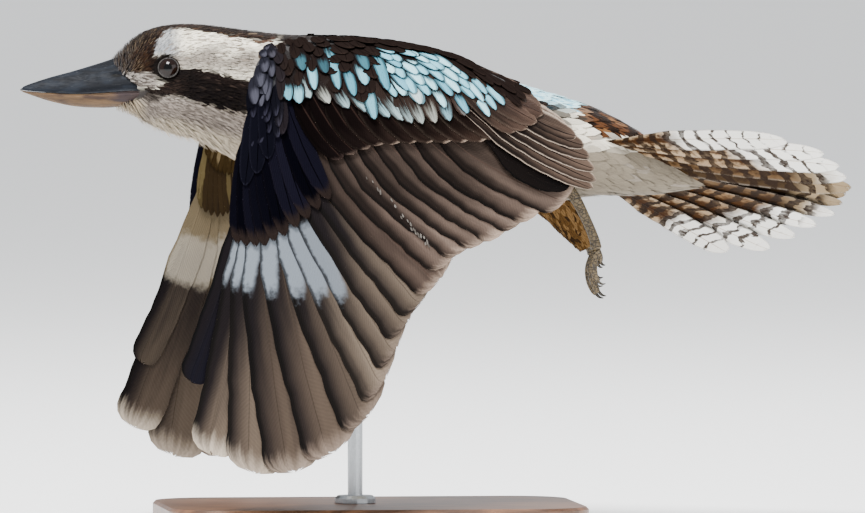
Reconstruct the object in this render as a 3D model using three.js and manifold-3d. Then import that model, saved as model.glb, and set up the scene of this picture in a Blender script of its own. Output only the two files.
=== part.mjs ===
// Laughing kookaburra in level flight, life size, with its wings at the bottom of the stroke, on a rod stand.
// Millimetres, +Z up, bill towards -X, the bird's own left side towards -Y.
// The origin is the centre of the stand's underside.
import * as THREE from "three";
import { mergeVertices } from "three/addons/utils/BufferGeometryUtils.js";
import Module from "manifold-3d";

const wasm = await Module();
wasm.setup();

// Clearance between pieces that touch
const GAP = 0.3;

// Body outline: height of the back and of the belly, half width, and the share of the depth at which it is widest
const BODY = [
  { x: -142, top: 247, bottom: 228, half: 9, widest: 0.5 },
  { x: -135, top: 254.5, bottom: 224, half: 14, widest: 0.5 },
  { x: -128, top: 261, bottom: 220.5, half: 18, widest: 0.48 },
  { x: -120, top: 265.5, bottom: 216, half: 21, widest: 0.46 },
  { x: -108, top: 268.5, bottom: 210.5, half: 24.5, widest: 0.46 },
  { x: -92, top: 268.8, bottom: 206, half: 26, widest: 0.47 },
  { x: -69, top: 266, bottom: 194, half: 27, widest: 0.5 },
  { x: -50, top: 263.5, bottom: 184.5, half: 33, widest: 0.54 },
  { x: -30, top: 262, bottom: 176.5, half: 39, widest: 0.56 },
  { x: 0, top: 261, bottom: 169, half: 42, widest: 0.56 },
  { x: 38, top: 254, bottom: 166, half: 40, widest: 0.54 },
  { x: 70, top: 240, bottom: 168.5, half: 34, widest: 0.52 },
  { x: 100, top: 230.5, bottom: 173.5, half: 26, widest: 0.52 },
  { x: 122, top: 223, bottom: 176.5, half: 22, widest: 0.54 },
  { x: 150, top: 207.5, bottom: 176.5, half: 17, widest: 0.5 },
  { x: 168, top: 196, bottom: 179, half: 11, widest: 0.45 },
  { x: 181, top: 185, bottom: 181, half: 3, widest: 0.5 },
];
// Under 1 makes a section fuller than an ellipse
const FULLNESS = 0.88;
const BODY_CUTS = { bill: -142, head: -70, neck: -48, torso: 120, coverts: 181 };

// Bill: ridge, cutting edge and keel heights along its length
const BILL = [
  { x: -187, ridge: 234.8, edge: 233.9, keel: 233.2, half: 0.8 },
  { x: -183, ridge: 236.6, edge: 233.2, keel: 231.7, half: 2.2 },
  { x: -172, ridge: 240.2, edge: 232.4, keel: 228, half: 5.2 },
  { x: -158, ridge: 244, edge: 231.8, keel: 225, half: 8.2 },
  { x: -144, ridge: 248.2, edge: 232.4, keel: 224.2, half: 11.4 },
  { x: -132, ridge: 252, edge: 233.3, keel: 224.6, half: 14.6 },
  { x: -122, ridge: 254, edge: 233.6, keel: 226.5, half: 16.4 },
];
const NOSTRIL = { x: -136.5, z: 241.6, length: 6, height: 1.5 };
const MOUTH = { from: -134, to: -114, height: 0.9, z: 233.5 };

const EYE = { x: -110.2, z: 246, radius: 6.6, sunk: 4.4 };
const LID = { ring: 5.5, tube: 1.3, sunk: 0.5 };

// Wing surface, as the distance from the mid plane at a place (x, z)
const WING = {
  topLine: [
    [-82, 244], [-70, 254], [-52, 260], [-30, 261.5], [0, 260.5], [38, 253.5], [70, 239.5], [98, 230], [122, 222],
  ],
  innerAtWrist: 55, innerAtBody: 13, wristX: -74, shoulderX: -26,
  outerFront: 92, outerRear: 35, outerFrom: -25, outerTo: 122,
  shoulderDepth: 14, flare: 0.12, tipSpread: 14, tipDepth: 228,
};
const CORE = {
  upper: [[69, 238.5], [38, 252.5], [5, 259.6], [-28, 260.8], [-50, 258], [-66, 251], [-73, 233], [-76, 203]],
  lower: [[74, 222], [45, 219], [5, 222], [-26, 225], [-46, 225], [-56, 221], [-63, 212], [-72, 200]],
  spanSteps: 12, chordSteps: 4, front: 1.3, middle: 2.9, rear: 0.6, rootDepth: 9, rootReach: 26,
};

// Feather rows: where the quills start, where the vanes end, both from the outermost feather inwards
const PRIMARIES = {
  count: 10, width: 27, level: 0, lift: 1.3, bow: -4,
  roots: [[-70, 206], [-66, 216], [-62, 225], [-56, 231]],
  tips: [[-111, 83], [-98, 47], [-75, 34], [-54, 35], [-33, 46], [-14, 65], [-5, 84], [2, 101], [9, 114], [17, 125]],
};
// On the right wing the three outermost primaries reach further forward
const RIGHT_PRIMARIES = {
  ...PRIMARIES,
  tips: [[-111, 83], [-112, 47], [-88, 32], [-62, 33], ...PRIMARIES.tips.slice(4)],
};
// The two outermost primaries are narrower and curve outwards
const OUTER_PRIMARIES = [{ width: 0.56, bow: 4 }, { width: 0.8, bow: 4 }, { bow: 0 }];
const SECONDARIES = {
  count: 10, width: 22, level: 0, lift: 1.3, bow: -4,
  roots: [[-53, 233], [-28, 233], [10, 231]],
  tips: [[28, 136], [40, 150], [55, 157], [70, 164], [84, 171], [101, 177]],
};
const TERTIALS = {
  count: 3, width: 19, level: 3, lift: 1.2, bow: -3,
  roots: [[45, 224], [60, 232]],
  tips: [[117, 180], [116, 190], [112, 201], [106, 211]],
};
const PRIMARY_COVERTS = {
  count: 6, width: 14, level: 3, lift: 0.8, bow: -2,
  roots: [[-72, 216], [-66, 226], [-56, 233]],
  tips: [[-82, 155], [-71, 153], [-60, 157], [-46, 166], [-33, 178]],
};
const GREATER_COVERTS = {
  count: 8, width: 18, level: 3, lift: 0.8, bow: -2,
  roots: [[-50, 233], [0, 232], [42, 231]],
  tips: [[-20, 187], [5, 198], [30, 205], [58, 209], [84, 214]],
};
const ALULA = {
  count: 2, width: 10, level: 5.2, lift: 0.8, bow: 0,
  roots: [[-71, 224], [-66, 231]],
  tips: [[-75.5, 187], [-69, 197]],
};
// Share of the full width at shares of the length, with a round tip
const VANE_ROWS = [[0, 0.25], [0.22, 0.45], [0.5, 1], [0.8, 0.96], [0.94, 0.66], [1, 0.16]];
const COVERT_ROWS = [[0, 0.5], [0.45, 1], [0.85, 0.85], [1, 0.2]];
const VANE_THICKNESS = 0.65;

// Tail fan, twisted so that its left edge stands higher than its right one
const TAIL = {
  root: [122, 0, 196], pitch: 10.7, yaw: 8, twist: 30, rootSpacing: 3.4, width: 25, lift: 1.3, arch: 5,
  left: { angles: [2, 7, 12, 17, 22.5, 28.5], lengths: [140, 138, 133, 127, 117, 99] },
  right: { angles: [2, 7.5, 13, 19, 25.5, 33], lengths: [140, 134, 124, 114, 104, 90] },
};

// Legs: the feathered shank, the bare tarsus and the half closed toes with their claws
const SHANKS = {
  left: { path: [[86, -13, 191], [96, -17, 186], [104, -18.5, 182]], radii: [15, 9, 4] },
  right: { path: [[88, 14, 188], [101, 17, 175], [111, 18, 160], [118.5, 18, 148]], radii: [17, 12.5, 8, 4] },
};
const TARSI = {
  left: { path: [[100, -18.5, 185], [107, -18.5, 177], [112.7, -18.5, 166.5], [118, -18.5, 154], [119.2, -18.5, 147]] },
  right: { path: [[114, 18, 157], [118, 18, 151.5], [120.5, 18, 148], [122.3, 18, 144.5]] },
  radii: [3.4, 3, 2.6, 2.7, 3.4],
};
// Each toe runs sideways by "across" and along the places [back, up] from the end of the tarsus
const TOES = [
  { across: 0, radii: [2.4, 2.3, 2, 1.6, 0.9, 0.3], places: [[0, 0], [-2.4, -7], [-2.2, -14], [0, -19.5], [2.8, -22.6], [5.4, -23.4]] },
  { across: 4, radii: [2.2, 2.1, 1.8, 1.3, 0.7, 0.3], places: [[0, 0], [-1.4, -5], [-1.4, -9], [0.2, -12.5], [2.4, -13.8], [4.2, -13.4]] },
  { across: -4, radii: [2.2, 2.1, 1.8, 1.3, 0.7, 0.3], places: [[0, 0], [-1.8, -6], [-1.6, -11], [0, -15], [2.4, -16.8], [4.6, -16.6]] },
  { across: 0.8, radii: [2.3, 2, 1.4, 0.8, 0.3], places: [[0, 1], [1.6, -2.6], [2.2, -5], [3.4, -6.6], [5, -7]] },
];

// Stand: a slab and one rod with a foot ring
const BASE = { length: 224, width: 150, corner: 30, height: 13, edge: 1.5 };
const ROD = { x: -8, radius: 4, footRadius: 11, footHeight: 4, top: 182 };

const COLOURS = {
  brown: 0x4b3a32, cream: 0xe6ded0, barred: 0xb98a5c, billDark: 0x2f3135, billPale: 0xb99a78,
  eye: 0x2a1710, leg: 0x8a8468, wood: 0x5a3d28, steel: 0x9a9da1,
};

// Plain helpers
const radians = THREE.MathUtils.degToRad;
const lerp = THREE.MathUtils.lerp;
const ease = (x, from, to) => THREE.MathUtils.smoothstep(x, from, to);

// Value of a station's key at x, on a smooth curve through the stations
function valueAt(stations, key, x) {
  const last = stations.length - 1;
  const clamped = THREE.MathUtils.clamp(x, stations[0].x, stations[last].x);
  let i = 0;
  while (i < last - 1 && clamped > stations[i + 1].x) i += 1;
  const slope = (k) => {
    const before = stations[Math.max(k - 1, 0)];
    const after = stations[Math.min(k + 1, last)];
    return (after[key] - before[key]) / (after.x - before.x);
  };
  const from = stations[i];
  const to = stations[i + 1];
  const span = to.x - from.x;
  const t = (clamped - from.x) / span;
  const t2 = t * t;
  const t3 = t2 * t;
  return (2 * t3 - 3 * t2 + 1) * from[key] + (t3 - 2 * t2 + t) * span * slope(i)
    + (3 * t2 - 2 * t3) * to[key] + (t3 - t2) * span * slope(i + 1);
}

// Point at a share of the way along a flat curve through [x, z] places
function placeOn(places, share) {
  const curve = new THREE.SplineCurve(places.map(([x, z]) => new THREE.Vector2(x, z)));
  return curve.getPoint(share);
}

function solidOf(geometry) {
  const bare = geometry.clone();
  bare.deleteAttribute("normal");
  bare.deleteAttribute("uv");
  const merged = mergeVertices(bare, 1e-4);
  return new wasm.Manifold(new wasm.Mesh({
    numProp: 3,
    vertProperties: new Float32Array(merged.attributes.position.array),
    triVerts: new Uint32Array(merged.index.array),
  }));
}

function geometryOf(solid) {
  const mesh = solid.getMesh();
  const geometry = new THREE.BufferGeometry();
  geometry.setAttribute("position", new THREE.BufferAttribute(new Float32Array(mesh.vertProperties), 3));
  geometry.setIndex(new THREE.BufferAttribute(new Uint32Array(mesh.triVerts), 1));
  return geometry;
}

// The largest closed surface of a solid
function largest(solid) {
  return solid.decompose().reduce((best, piece) => (piece.volume() > best.volume() ? piece : best));
}

const joined = (solids) => solids.reduce((sum, solid) => sum.add(solid));

// A closed round form from a cylinder whose every point goes to place(share along, angle, share of the radius)
function roundForm(steps, sides, place) {
  const geometry = new THREE.CylinderGeometry(1, 1, 1, sides, steps);
  const position = geometry.attributes.position;
  for (let i = 0; i < position.count; i += 1) {
    const share = position.getY(i) + 0.5;
    const angle = Math.atan2(position.getX(i), position.getZ(i));
    const radius = Math.min(1, Math.hypot(position.getX(i), position.getZ(i)));
    const point = place(share, angle, radius < 1e-6 ? 0 : radius);
    position.setXYZ(i, point.x, point.y, point.z);
  }
  const solid = solidOf(geometry);
  return solid.volume() < 0 ? solidOf(geometry.setIndex([...geometry.index.array].reverse())) : solid;
}

// A closed thin sheet: each row holds [top point, bottom point] pairs, split into triangles alike on both faces
function sheetForm(rows) {
  const across = rows[0].length;
  const points = rows.flat(2);
  const top = (r, c) => 2 * (r * across + c);
  const bottom = (r, c) => top(r, c) + 1;
  const faces = [];
  for (let r = 0; r < rows.length - 1; r += 1) {
    for (let c = 0; c < across - 1; c += 1) {
      faces.push(top(r, c), top(r + 1, c), top(r + 1, c + 1), top(r, c), top(r + 1, c + 1), top(r, c + 1));
      faces.push(bottom(r, c), bottom(r + 1, c + 1), bottom(r + 1, c), bottom(r, c), bottom(r, c + 1),
        bottom(r + 1, c + 1));
    }
  }
  const rim = [];
  for (let c = 0; c < across; c += 1) rim.push([0, c]);
  for (let r = 1; r < rows.length; r += 1) rim.push([r, across - 1]);
  for (let c = across - 2; c >= 0; c -= 1) rim.push([rows.length - 1, c]);
  for (let r = rows.length - 2; r > 0; r -= 1) rim.push([r, 0]);
  rim.forEach(([r, c], i) => {
    const [nr, nc] = rim[(i + 1) % rim.length];
    faces.push(top(r, c), top(nr, nc), bottom(nr, nc), top(r, c), bottom(nr, nc), bottom(r, c));
  });
  const geometry = new THREE.BufferGeometry();
  geometry.setAttribute("position", new THREE.Float32BufferAttribute(points.flatMap((p) => [p.x, p.y, p.z]), 3));
  geometry.setIndex(faces);
  const solid = solidOf(geometry);
  return solid.volume() < 0 ? solidOf(geometry.setIndex(faces.slice().reverse())) : solid;
}

// A limb along a curve, with a radius that changes from end to end and round ends
function limbForm(path, radii, steps, sides, grow = 0) {
  const curve = new THREE.CatmullRomCurve3(path.map((p) => new THREE.Vector3(...p)));
  const frames = curve.computeFrenetFrames(100, false);
  const radiusAt = (t) => {
    const at = t * (radii.length - 1);
    const i = Math.min(Math.floor(at), radii.length - 2);
    return lerp(radii[i], radii[i + 1], at - i);
  };
  return roundForm(steps + 2, sides, (share, angle, radius) => {
    // The first and the last step make the blunt ends
    const step = share * (steps + 2);
    const along = THREE.MathUtils.clamp((step - 1) / steps, 0, 1);
    const beyond = Math.min(step - 1, 0) || Math.max(step - 1 - steps, 0);
    const bend = Math.abs(beyond) * 0.35 * Math.PI;
    const size = (radiusAt(along) + grow) * Math.cos(bend);
    const reach = Math.sign(beyond) * (radiusAt(along) + grow) * Math.sin(bend);
    const i = Math.round(along * 100);
    return curve.getPoint(along)
      .addScaledVector(frames.tangents[i], reach)
      .addScaledVector(frames.normals[i], radius * size * Math.cos(angle))
      .addScaledVector(frames.binormals[i], radius * size * Math.sin(angle));
  });
}

// Body
function bodySection(x, grow) {
  const top = valueAt(BODY, "top", x);
  const bottom = valueAt(BODY, "bottom", x);
  const centre = lerp(bottom, top, valueAt(BODY, "widest", x));
  return { centre, up: top - centre + grow, down: centre - bottom + grow, half: valueAt(BODY, "half", x) + grow };
}

const fuller = (v) => Math.sign(v) * Math.abs(v) ** FULLNESS;

function bodyForm(from, to, steps, sides, grow = 0) {
  return roundForm(steps, sides, (share, angle, radius) => {
    const x = lerp(from - grow, to + grow, share);
    const section = bodySection(x, grow);
    const rise = fuller(Math.sin(angle)) * (Math.sin(angle) > 0 ? section.up : section.down);
    return new THREE.Vector3(x, radius * section.half * fuller(Math.cos(angle)), section.centre + radius * rise);
  });
}

// Half width of the body at a place in its side view
function bodyHalfAt(x, z) {
  const section = bodySection(x, 0);
  const rise = (z - section.centre) / (z > section.centre ? section.up : section.down);
  const across = Math.sqrt(1 - Math.min(1, Math.abs(rise) ** (1 / FULLNESS)) ** 2);
  return section.half * across ** FULLNESS;
}

// Bill: two halves that meet along the cutting edge
function billForm(upper, grow = 0) {
  const first = BILL[0].x;
  const last = BILL[BILL.length - 1].x;
  return roundForm(9, 12, (share, angle, radius) => {
    const x = lerp(first - grow, last + grow, share);
    const edge = valueAt(BILL, "edge", x) + (upper ? GAP / 2 - grow : -GAP / 2 + grow);
    const far = valueAt(BILL, upper ? "ridge" : "keel", x) + (upper ? grow : -grow);
    const half = valueAt(BILL, "half", x) + 2 * grow;
    // The angle runs once round a half moon: flat along the edge, arched over the ridge
    const arch = Math.max(0, Math.sin(angle));
    const side = half * Math.cos(angle) * (1 - 0.25 * arch);
    return new THREE.Vector3(x, radius * side, lerp(edge, far, arch * lerp(0.5, 1, radius)));
  });
}

function nostril(side) {
  const slot = new THREE.SphereGeometry(1, 8, 6);
  slot.scale(NOSTRIL.length / 2, 3, NOSTRIL.height / 2);
  slot.translate(NOSTRIL.x, side * valueAt(BILL, "half", NOSTRIL.x) * 0.84, NOSTRIL.z);
  return solidOf(slot);
}

// Eye
function eyePlace(side) {
  return new THREE.Vector3(EYE.x, side * bodyHalfAt(EYE.x, EYE.z), EYE.z).addScaledVector(eyeAxis(side), -EYE.sunk);
}

function eyeForm(side, grow = 0) {
  const ball = new THREE.SphereGeometry(EYE.radius + grow, 14, 9);
  ball.translate(...eyePlace(side).toArray());
  return solidOf(ball);
}

// The way the eye looks: out of the head, square to its surface
function eyeAxis(side) {
  const slopeX = bodyHalfAt(EYE.x + 3, EYE.z) - bodyHalfAt(EYE.x - 3, EYE.z);
  const slopeZ = bodyHalfAt(EYE.x, EYE.z + 3) - bodyHalfAt(EYE.x, EYE.z - 3);
  return new THREE.Vector3(-slopeX / 6, side, -slopeZ / 6).normalize();
}

function lidForm(side) {
  const ring = new THREE.TorusGeometry(LID.ring, LID.tube, 6, 14);
  const turn = new THREE.Quaternion().setFromUnitVectors(new THREE.Vector3(0, 0, 1), eyeAxis(side));
  const place = eyePlace(side).addScaledVector(eyeAxis(side), EYE.sunk - LID.sunk);
  ring.applyQuaternion(turn);
  ring.translate(place.x, place.y, place.z);
  return solidOf(ring);
}

function mouthLine(side) {
  const slit = new THREE.BoxGeometry(MOUTH.to - MOUTH.from, 3, MOUTH.height);
  const x = (MOUTH.from + MOUTH.to) / 2;
  slit.translate(x, side * bodyHalfAt(x, MOUTH.z), MOUTH.z);
  return solidOf(slit);
}

// Wing surface
function topLineAt(x) {
  return valueAt(WING.topLine.map(([px, z]) => ({ x: px, z })), "z", x);
}

function wingReach(x, z) {
  const depth = Math.max(0, topLineAt(x) - z);
  const inner = lerp(WING.innerAtWrist, WING.innerAtBody, ease(x, WING.wristX, WING.shoulderX));
  const outer = lerp(WING.outerFront, WING.outerRear, ease(x, WING.outerFrom, WING.outerTo));
  const curl = 1 - Math.exp(-depth / WING.shoulderDepth);
  return inner + (outer - inner) * curl + WING.flare * depth + WING.tipSpread * (depth / WING.tipDepth) ** 2;
}

// A point on the left wing's surface at (x, z), raised by height on the upper side
function wingPoint(x, z, height) {
  const step = 0.5;
  const slopeX = (wingReach(x + step, z) - wingReach(x - step, z)) / (2 * step);
  const slopeZ = (wingReach(x, z + step) - wingReach(x, z - step)) / (2 * step);
  const normal = new THREE.Vector3(-slopeX, -1, -slopeZ).normalize();
  return new THREE.Vector3(x, -wingReach(x, z), z).addScaledVector(normal, height);
}

// The arm and hand under the coverts, thick in the middle and where it leaves the body
function wingCore() {
  const rows = [];
  for (let i = 0; i <= CORE.spanSteps; i += 1) {
    const upper = placeOn(CORE.upper, i / CORE.spanSteps);
    const lower = placeOn(CORE.lower, i / CORE.spanSteps);
    const row = [];
    for (let j = 0; j <= CORE.chordSteps; j += 1) {
      // Closer steps near the upper line, where the surface turns over
      const t = (j / CORE.chordSteps) ** 1.7;
      const x = lerp(upper.x, lower.x, t);
      const z = lerp(upper.y, lower.y, t);
      const edge = lerp(CORE.front, CORE.rear, t);
      const half = edge + CORE.middle * Math.sin(Math.PI * Math.min(1, t ** 0.6)) ** 0.8;
      const root = CORE.rootDepth * Math.exp(-Math.max(0, wingReach(x, z) - 20) / CORE.rootReach);
      const atBody = ease(x, -36, -18) * (1 - t);
      row.push([wingPoint(x, z, half), wingPoint(x, z, -half - root * atBody)]);
    }
    rows.push(row);
  }
  return sheetForm(rows);
}

// One feather laid on the wing surface, its leading edge raised over the next feather out
function wingVane(row, root, tip, shares) {
  const along = new THREE.Vector2().subVectors(tip, root);
  const lead = new THREE.Vector2(along.y, -along.x).normalize();
  return sheetForm(shares.map(([s, full]) => {
    const middle = root.clone().addScaledVector(along, s).addScaledVector(lead, -row.bow * Math.sin(Math.PI * s));
    const thick = (VANE_THICKNESS / 2) * lerp(1.15, 0.8, s);
    return [-1, 1].map((side) => {
      const place = middle.clone().addScaledVector(lead, side * full * row.width / 2);
      const height = row.level + side * row.lift;
      return [wingPoint(place.x, place.y, height + thick), wingPoint(place.x, place.y, height - thick)];
    });
  }));
}

function featherRow(row, shares, exceptions = []) {
  const feathers = [];
  for (let i = 0; i < row.count; i += 1) {
    const share = i / (row.count - 1);
    const { width = 1, bow = row.bow } = exceptions[i] ?? {};
    const feather = { ...row, width: row.width * width, bow };
    feathers.push(wingVane(feather, placeOn(row.roots, share), placeOn(row.tips, share), shares));
  }
  return feathers;
}

function wingForm(primaries, clearOf) {
  const feathers = [
    ...featherRow(primaries, VANE_ROWS, OUTER_PRIMARIES),
    ...featherRow(SECONDARIES, VANE_ROWS),
    ...featherRow(TERTIALS, VANE_ROWS),
    ...featherRow(PRIMARY_COVERTS, COVERT_ROWS),
    ...featherRow(GREATER_COVERTS, COVERT_ROWS),
    ...featherRow(ALULA, COVERT_ROWS),
  ];
  return largest(joined([wingCore(), ...feathers]).subtract(clearOf));
}

// Tail fan
function tailAxes() {
  const turn = new THREE.Matrix4()
    .makeRotationZ(radians(-TAIL.yaw))
    .multiply(new THREE.Matrix4().makeRotationY(radians(TAIL.pitch)))
    .multiply(new THREE.Matrix4().makeRotationX(radians(-TAIL.twist)));
  const axes = [new THREE.Vector3(), new THREE.Vector3(), new THREE.Vector3()];
  turn.extractBasis(...axes);
  const [back, right, up] = axes;
  return { back, left: right.negate(), up };
}

function tailVane(index, side) {
  const { back, left, up } = tailAxes();
  const { angles, lengths } = side > 0 ? TAIL.left : TAIL.right;
  const angle = radians(angles[index]) * side;
  const along = back.clone().multiplyScalar(Math.cos(angle)).addScaledVector(left, Math.sin(angle));
  const outward = left.clone().multiplyScalar(Math.cos(angle)).addScaledVector(back, -Math.sin(angle))
    .multiplyScalar(side);
  const root = new THREE.Vector3(...TAIL.root).addScaledVector(left, side * TAIL.rootSpacing * (index + 0.5));
  // The innermost left feather lies over the innermost right one
  const level = index === 0 && side > 0 ? 2.4 : 0;
  return sheetForm(VANE_ROWS.map(([s, full]) => [-1, 1].map((edge) => {
    const place = root.clone().addScaledVector(along, s * lengths[index])
      .addScaledVector(outward, edge * full * TAIL.width / 2);
    const across = place.clone().sub(new THREE.Vector3(...TAIL.root)).dot(left);
    const height = level + edge * TAIL.lift - TAIL.arch * (across / 60) ** 2;
    const thick = (VANE_THICKNESS / 2) * lerp(1.2, 0.85, s);
    return [place.clone().addScaledVector(up, height + thick), place.clone().addScaledVector(up, height - thick)];
  })));
}

function tailForm() {
  const vanes = TAIL.left.angles.flatMap((_, i) => [tailVane(i, 1), tailVane(i, -1)]);
  return largest(joined([bodyForm(BODY_CUTS.torso + GAP, BODY_CUTS.coverts, 7, 18), ...vanes]).subtract(trunkClear));
}

// Legs
function footForm(side) {
  const leg = TARSI[side];
  const ankle = new THREE.Vector3(...leg.path[leg.path.length - 1]);
  const toes = TOES.map((toe) => {
    const path = toe.places.map(([back, up], i) => [
      ankle.x + back, ankle.y + toe.across * Math.min(1, i / 2), ankle.z + up,
    ]);
    return limbForm(path, toe.radii, 5, 6);
  });
  return joined([limbForm(leg.path, TARSI.radii, 5, 8), ...toes]);
}

// Stand
function baseGeometry() {
  const x = BASE.length / 2 - BASE.edge;
  const y = BASE.width / 2 - BASE.edge;
  const r = BASE.corner;
  const outline = new THREE.Shape();
  outline.moveTo(x - r, -y);
  outline.absarc(x - r, -y + r, r, -Math.PI / 2, 0);
  outline.absarc(x - r, y - r, r, 0, Math.PI / 2);
  outline.absarc(-x + r, y - r, r, Math.PI / 2, Math.PI);
  outline.absarc(-x + r, -y + r, r, Math.PI, 1.5 * Math.PI);
  const slab = new THREE.ExtrudeGeometry(outline, {
    depth: BASE.height - 2 * BASE.edge, curveSegments: 10, bevelSegments: 1, bevelSize: BASE.edge,
    bevelThickness: BASE.edge,
  });
  return slab.translate(0, 0, BASE.edge);
}

function rodGeometry() {
  const foot = BASE.height + GAP;
  const profile = [
    [0, foot], [ROD.footRadius, foot], [ROD.footRadius, foot + ROD.footHeight * 0.6],
    [ROD.footRadius - 1.6, foot + ROD.footHeight], [ROD.radius, foot + ROD.footHeight],
    [ROD.radius, ROD.top], [0, ROD.top],
  ];
  const rod = new THREE.LatheGeometry(profile.map(([r, z]) => new THREE.Vector2(r, z)), 24);
  return rod.rotateX(Math.PI / 2).translate(ROD.x, 0, 0);
}

// Assembly
const bird = new THREE.Group();

function addNode(name, geometry, colour, roughness, metalness = 0) {
  const material = new THREE.MeshStandardMaterial({ color: colour, roughness, metalness });
  const mesh = new THREE.Mesh(geometry, material);
  mesh.name = name;
  bird.add(mesh);
  return mesh;
}

const sides = { left: -1, right: 1 };
const bodyClear = bodyForm(BODY_CUTS.bill, BODY_CUTS.coverts, 26, 24, GAP + 0.15);
const torso = bodyForm(BODY_CUTS.neck + GAP, BODY_CUTS.torso, 14, 24);
const torsoClear = bodyForm(BODY_CUTS.neck, BODY_CUTS.coverts, 22, 24, GAP + 0.15);
const trunkClear = bodyForm(BODY_CUTS.neck, BODY_CUTS.torso, 14, 24, GAP);
const billClear = billForm(true, GAP).add(billForm(false, GAP));

let head = bodyForm(BODY_CUTS.bill, BODY_CUTS.head, 12, 24);
Object.values(sides).forEach((side) => {
  head = head.add(lidForm(side)).subtract(eyeForm(side, GAP)).subtract(mouthLine(side));
});
head = largest(head.subtract(billClear));

addNode("head", geometryOf(head), COLOURS.cream, 0.85);
addNode("neck", geometryOf(bodyForm(BODY_CUTS.head + GAP, BODY_CUTS.neck, 3, 24)), COLOURS.cream, 0.85);
addNode("torso", geometryOf(torso), COLOURS.cream, 0.85);
addNode("bill_upper", geometryOf(largest(billForm(true).subtract(nostril(-1)).subtract(nostril(1)))), COLOURS.billDark, 0.4);
addNode("bill_lower", geometryOf(billForm(false)), COLOURS.billPale, 0.45);
Object.entries(sides).forEach(([name, side]) => {
  addNode("eye_" + name, geometryOf(eyeForm(side)), COLOURS.eye, 0.1);
});

Object.keys(sides).forEach((name) => {
  const { path, radii } = SHANKS[name];
  const shank = limbForm(path, radii, 5, 12).subtract(torsoClear);
  const foot = footForm(name).subtract(limbForm(path, radii, 5, 12, GAP)).subtract(torsoClear);
  addNode("shank_" + name, geometryOf(largest(shank)), COLOURS.cream, 0.85);
  addNode("foot_" + name, geometryOf(largest(foot)), COLOURS.leg, 0.6);
});

addNode("wing_left", geometryOf(wingForm(PRIMARIES, bodyClear)), COLOURS.brown, 0.8);
// The right wing is modelled as a left one and mirrored
addNode("wing_right", geometryOf(wingForm(RIGHT_PRIMARIES, bodyClear)), COLOURS.brown, 0.8).scale.set(1, -1, 1);
addNode("tail", geometryOf(tailForm()), COLOURS.barred, 0.8);

addNode("stand_base", baseGeometry(), COLOURS.wood, 0.5);
addNode("stand_rod", geometryOf(largest(solidOf(rodGeometry()).subtract(torsoClear))), COLOURS.steel, 0.3, 1);

export default bird;
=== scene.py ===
"""Laughing kookaburra in flight on a display stand: skin, plumage, bill, eyes, legs, stand and studio."""
import logging
import math
from collections.abc import Callable
from dataclasses import dataclass
from enum import Enum
from functools import cache, partial
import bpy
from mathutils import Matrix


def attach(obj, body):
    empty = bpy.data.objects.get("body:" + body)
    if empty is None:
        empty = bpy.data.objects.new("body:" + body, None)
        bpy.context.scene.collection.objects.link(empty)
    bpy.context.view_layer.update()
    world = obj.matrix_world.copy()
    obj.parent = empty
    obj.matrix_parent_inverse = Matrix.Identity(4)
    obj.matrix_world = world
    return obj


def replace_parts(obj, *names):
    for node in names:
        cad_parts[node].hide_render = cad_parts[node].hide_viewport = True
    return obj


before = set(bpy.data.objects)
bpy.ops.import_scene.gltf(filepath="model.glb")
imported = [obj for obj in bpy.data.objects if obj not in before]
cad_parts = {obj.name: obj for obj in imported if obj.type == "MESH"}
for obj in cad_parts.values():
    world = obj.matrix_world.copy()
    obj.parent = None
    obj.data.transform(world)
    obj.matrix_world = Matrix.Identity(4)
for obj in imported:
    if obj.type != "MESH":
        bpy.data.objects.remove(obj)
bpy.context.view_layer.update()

from types import SimpleNamespace

import bmesh
import bpy
import numpy as np
from bpy.types import Material, Mesh, Node, NodeSocket, NodeTree, Object
from mathutils import Matrix, Vector

logging.basicConfig(level=logging.INFO, format="%(message)s")
LOG = logging.getLogger("kookaburra")

Array = np.ndarray
Random = np.random.Generator
Spot = tuple[float, float, float]
Line = tuple[tuple[float, float], ...]
MM = 0.001
BODY = "root"
SEED = 20117


class Side(Enum):
    """The bird's own sides, as the sign of Y."""

    LEFT = -1
    RIGHT = 1

    @property
    def word(self) -> str:
        """The side as it stands in node names."""
        return self.name.lower()


class Face(Enum):
    """Which face of a wing or tail a feather lies on."""

    UPPER = 1
    UNDER = -1


# Plain numbers


def smooth(low: float, high: float, value: Array) -> Array:
    """Ease from 0 at low to 1 at high."""
    t = np.clip((np.asarray(value, float) - low) / (high - low), 0.0, 1.0)
    return t * t * (3.0 - 2.0 * t)


def through(places: Array, values: Array, at: Array) -> Array:
    """Read a smooth curve that runs through stations.

    Args:
        places: rising positions of the stations.
        values: the value at each station.
        at: where to read the curve.

    Returns:
        The curve's values, held at the end stations beyond them.
    """
    places, values = np.asarray(places, float), np.asarray(values, float)
    at = np.clip(at, places[0], places[-1])
    i = np.clip(np.searchsorted(places, at, side="right") - 1, 0, len(places) - 2)
    slopes = np.gradient(values) / np.gradient(places)
    span = places[i + 1] - places[i]
    t = (at - places[i]) / span
    t2, t3 = t * t, t * t * t
    return (
        (2 * t3 - 3 * t2 + 1) * values[i] + (t3 - 2 * t2 + t) * span * slopes[i]
        + (3 * t2 - 2 * t3) * values[i + 1] + (t3 - t2) * span * slopes[i + 1]
    )


def columns(*parts: Array | float) -> Array:
    """Put arrays or single numbers side by side, as the parts of points, directions or colours."""
    return np.stack(np.broadcast_arrays(*parts), axis=-1)


def unit(vectors: Array) -> Array:
    """Bring directions to length 1."""
    return vectors / np.maximum(np.linalg.norm(vectors, axis=-1, keepdims=True), 1e-9)


def place_on(points: tuple[tuple[float, ...], ...], share: Array) -> Array:
    """Read points at shares of the way along a smooth curve through evenly counted places."""
    table = np.array(points, float)
    index = np.arange(len(table))
    at = np.asarray(share, float) * (len(table) - 1)
    return columns(*(through(index, row, at) for row in table.T))


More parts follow.
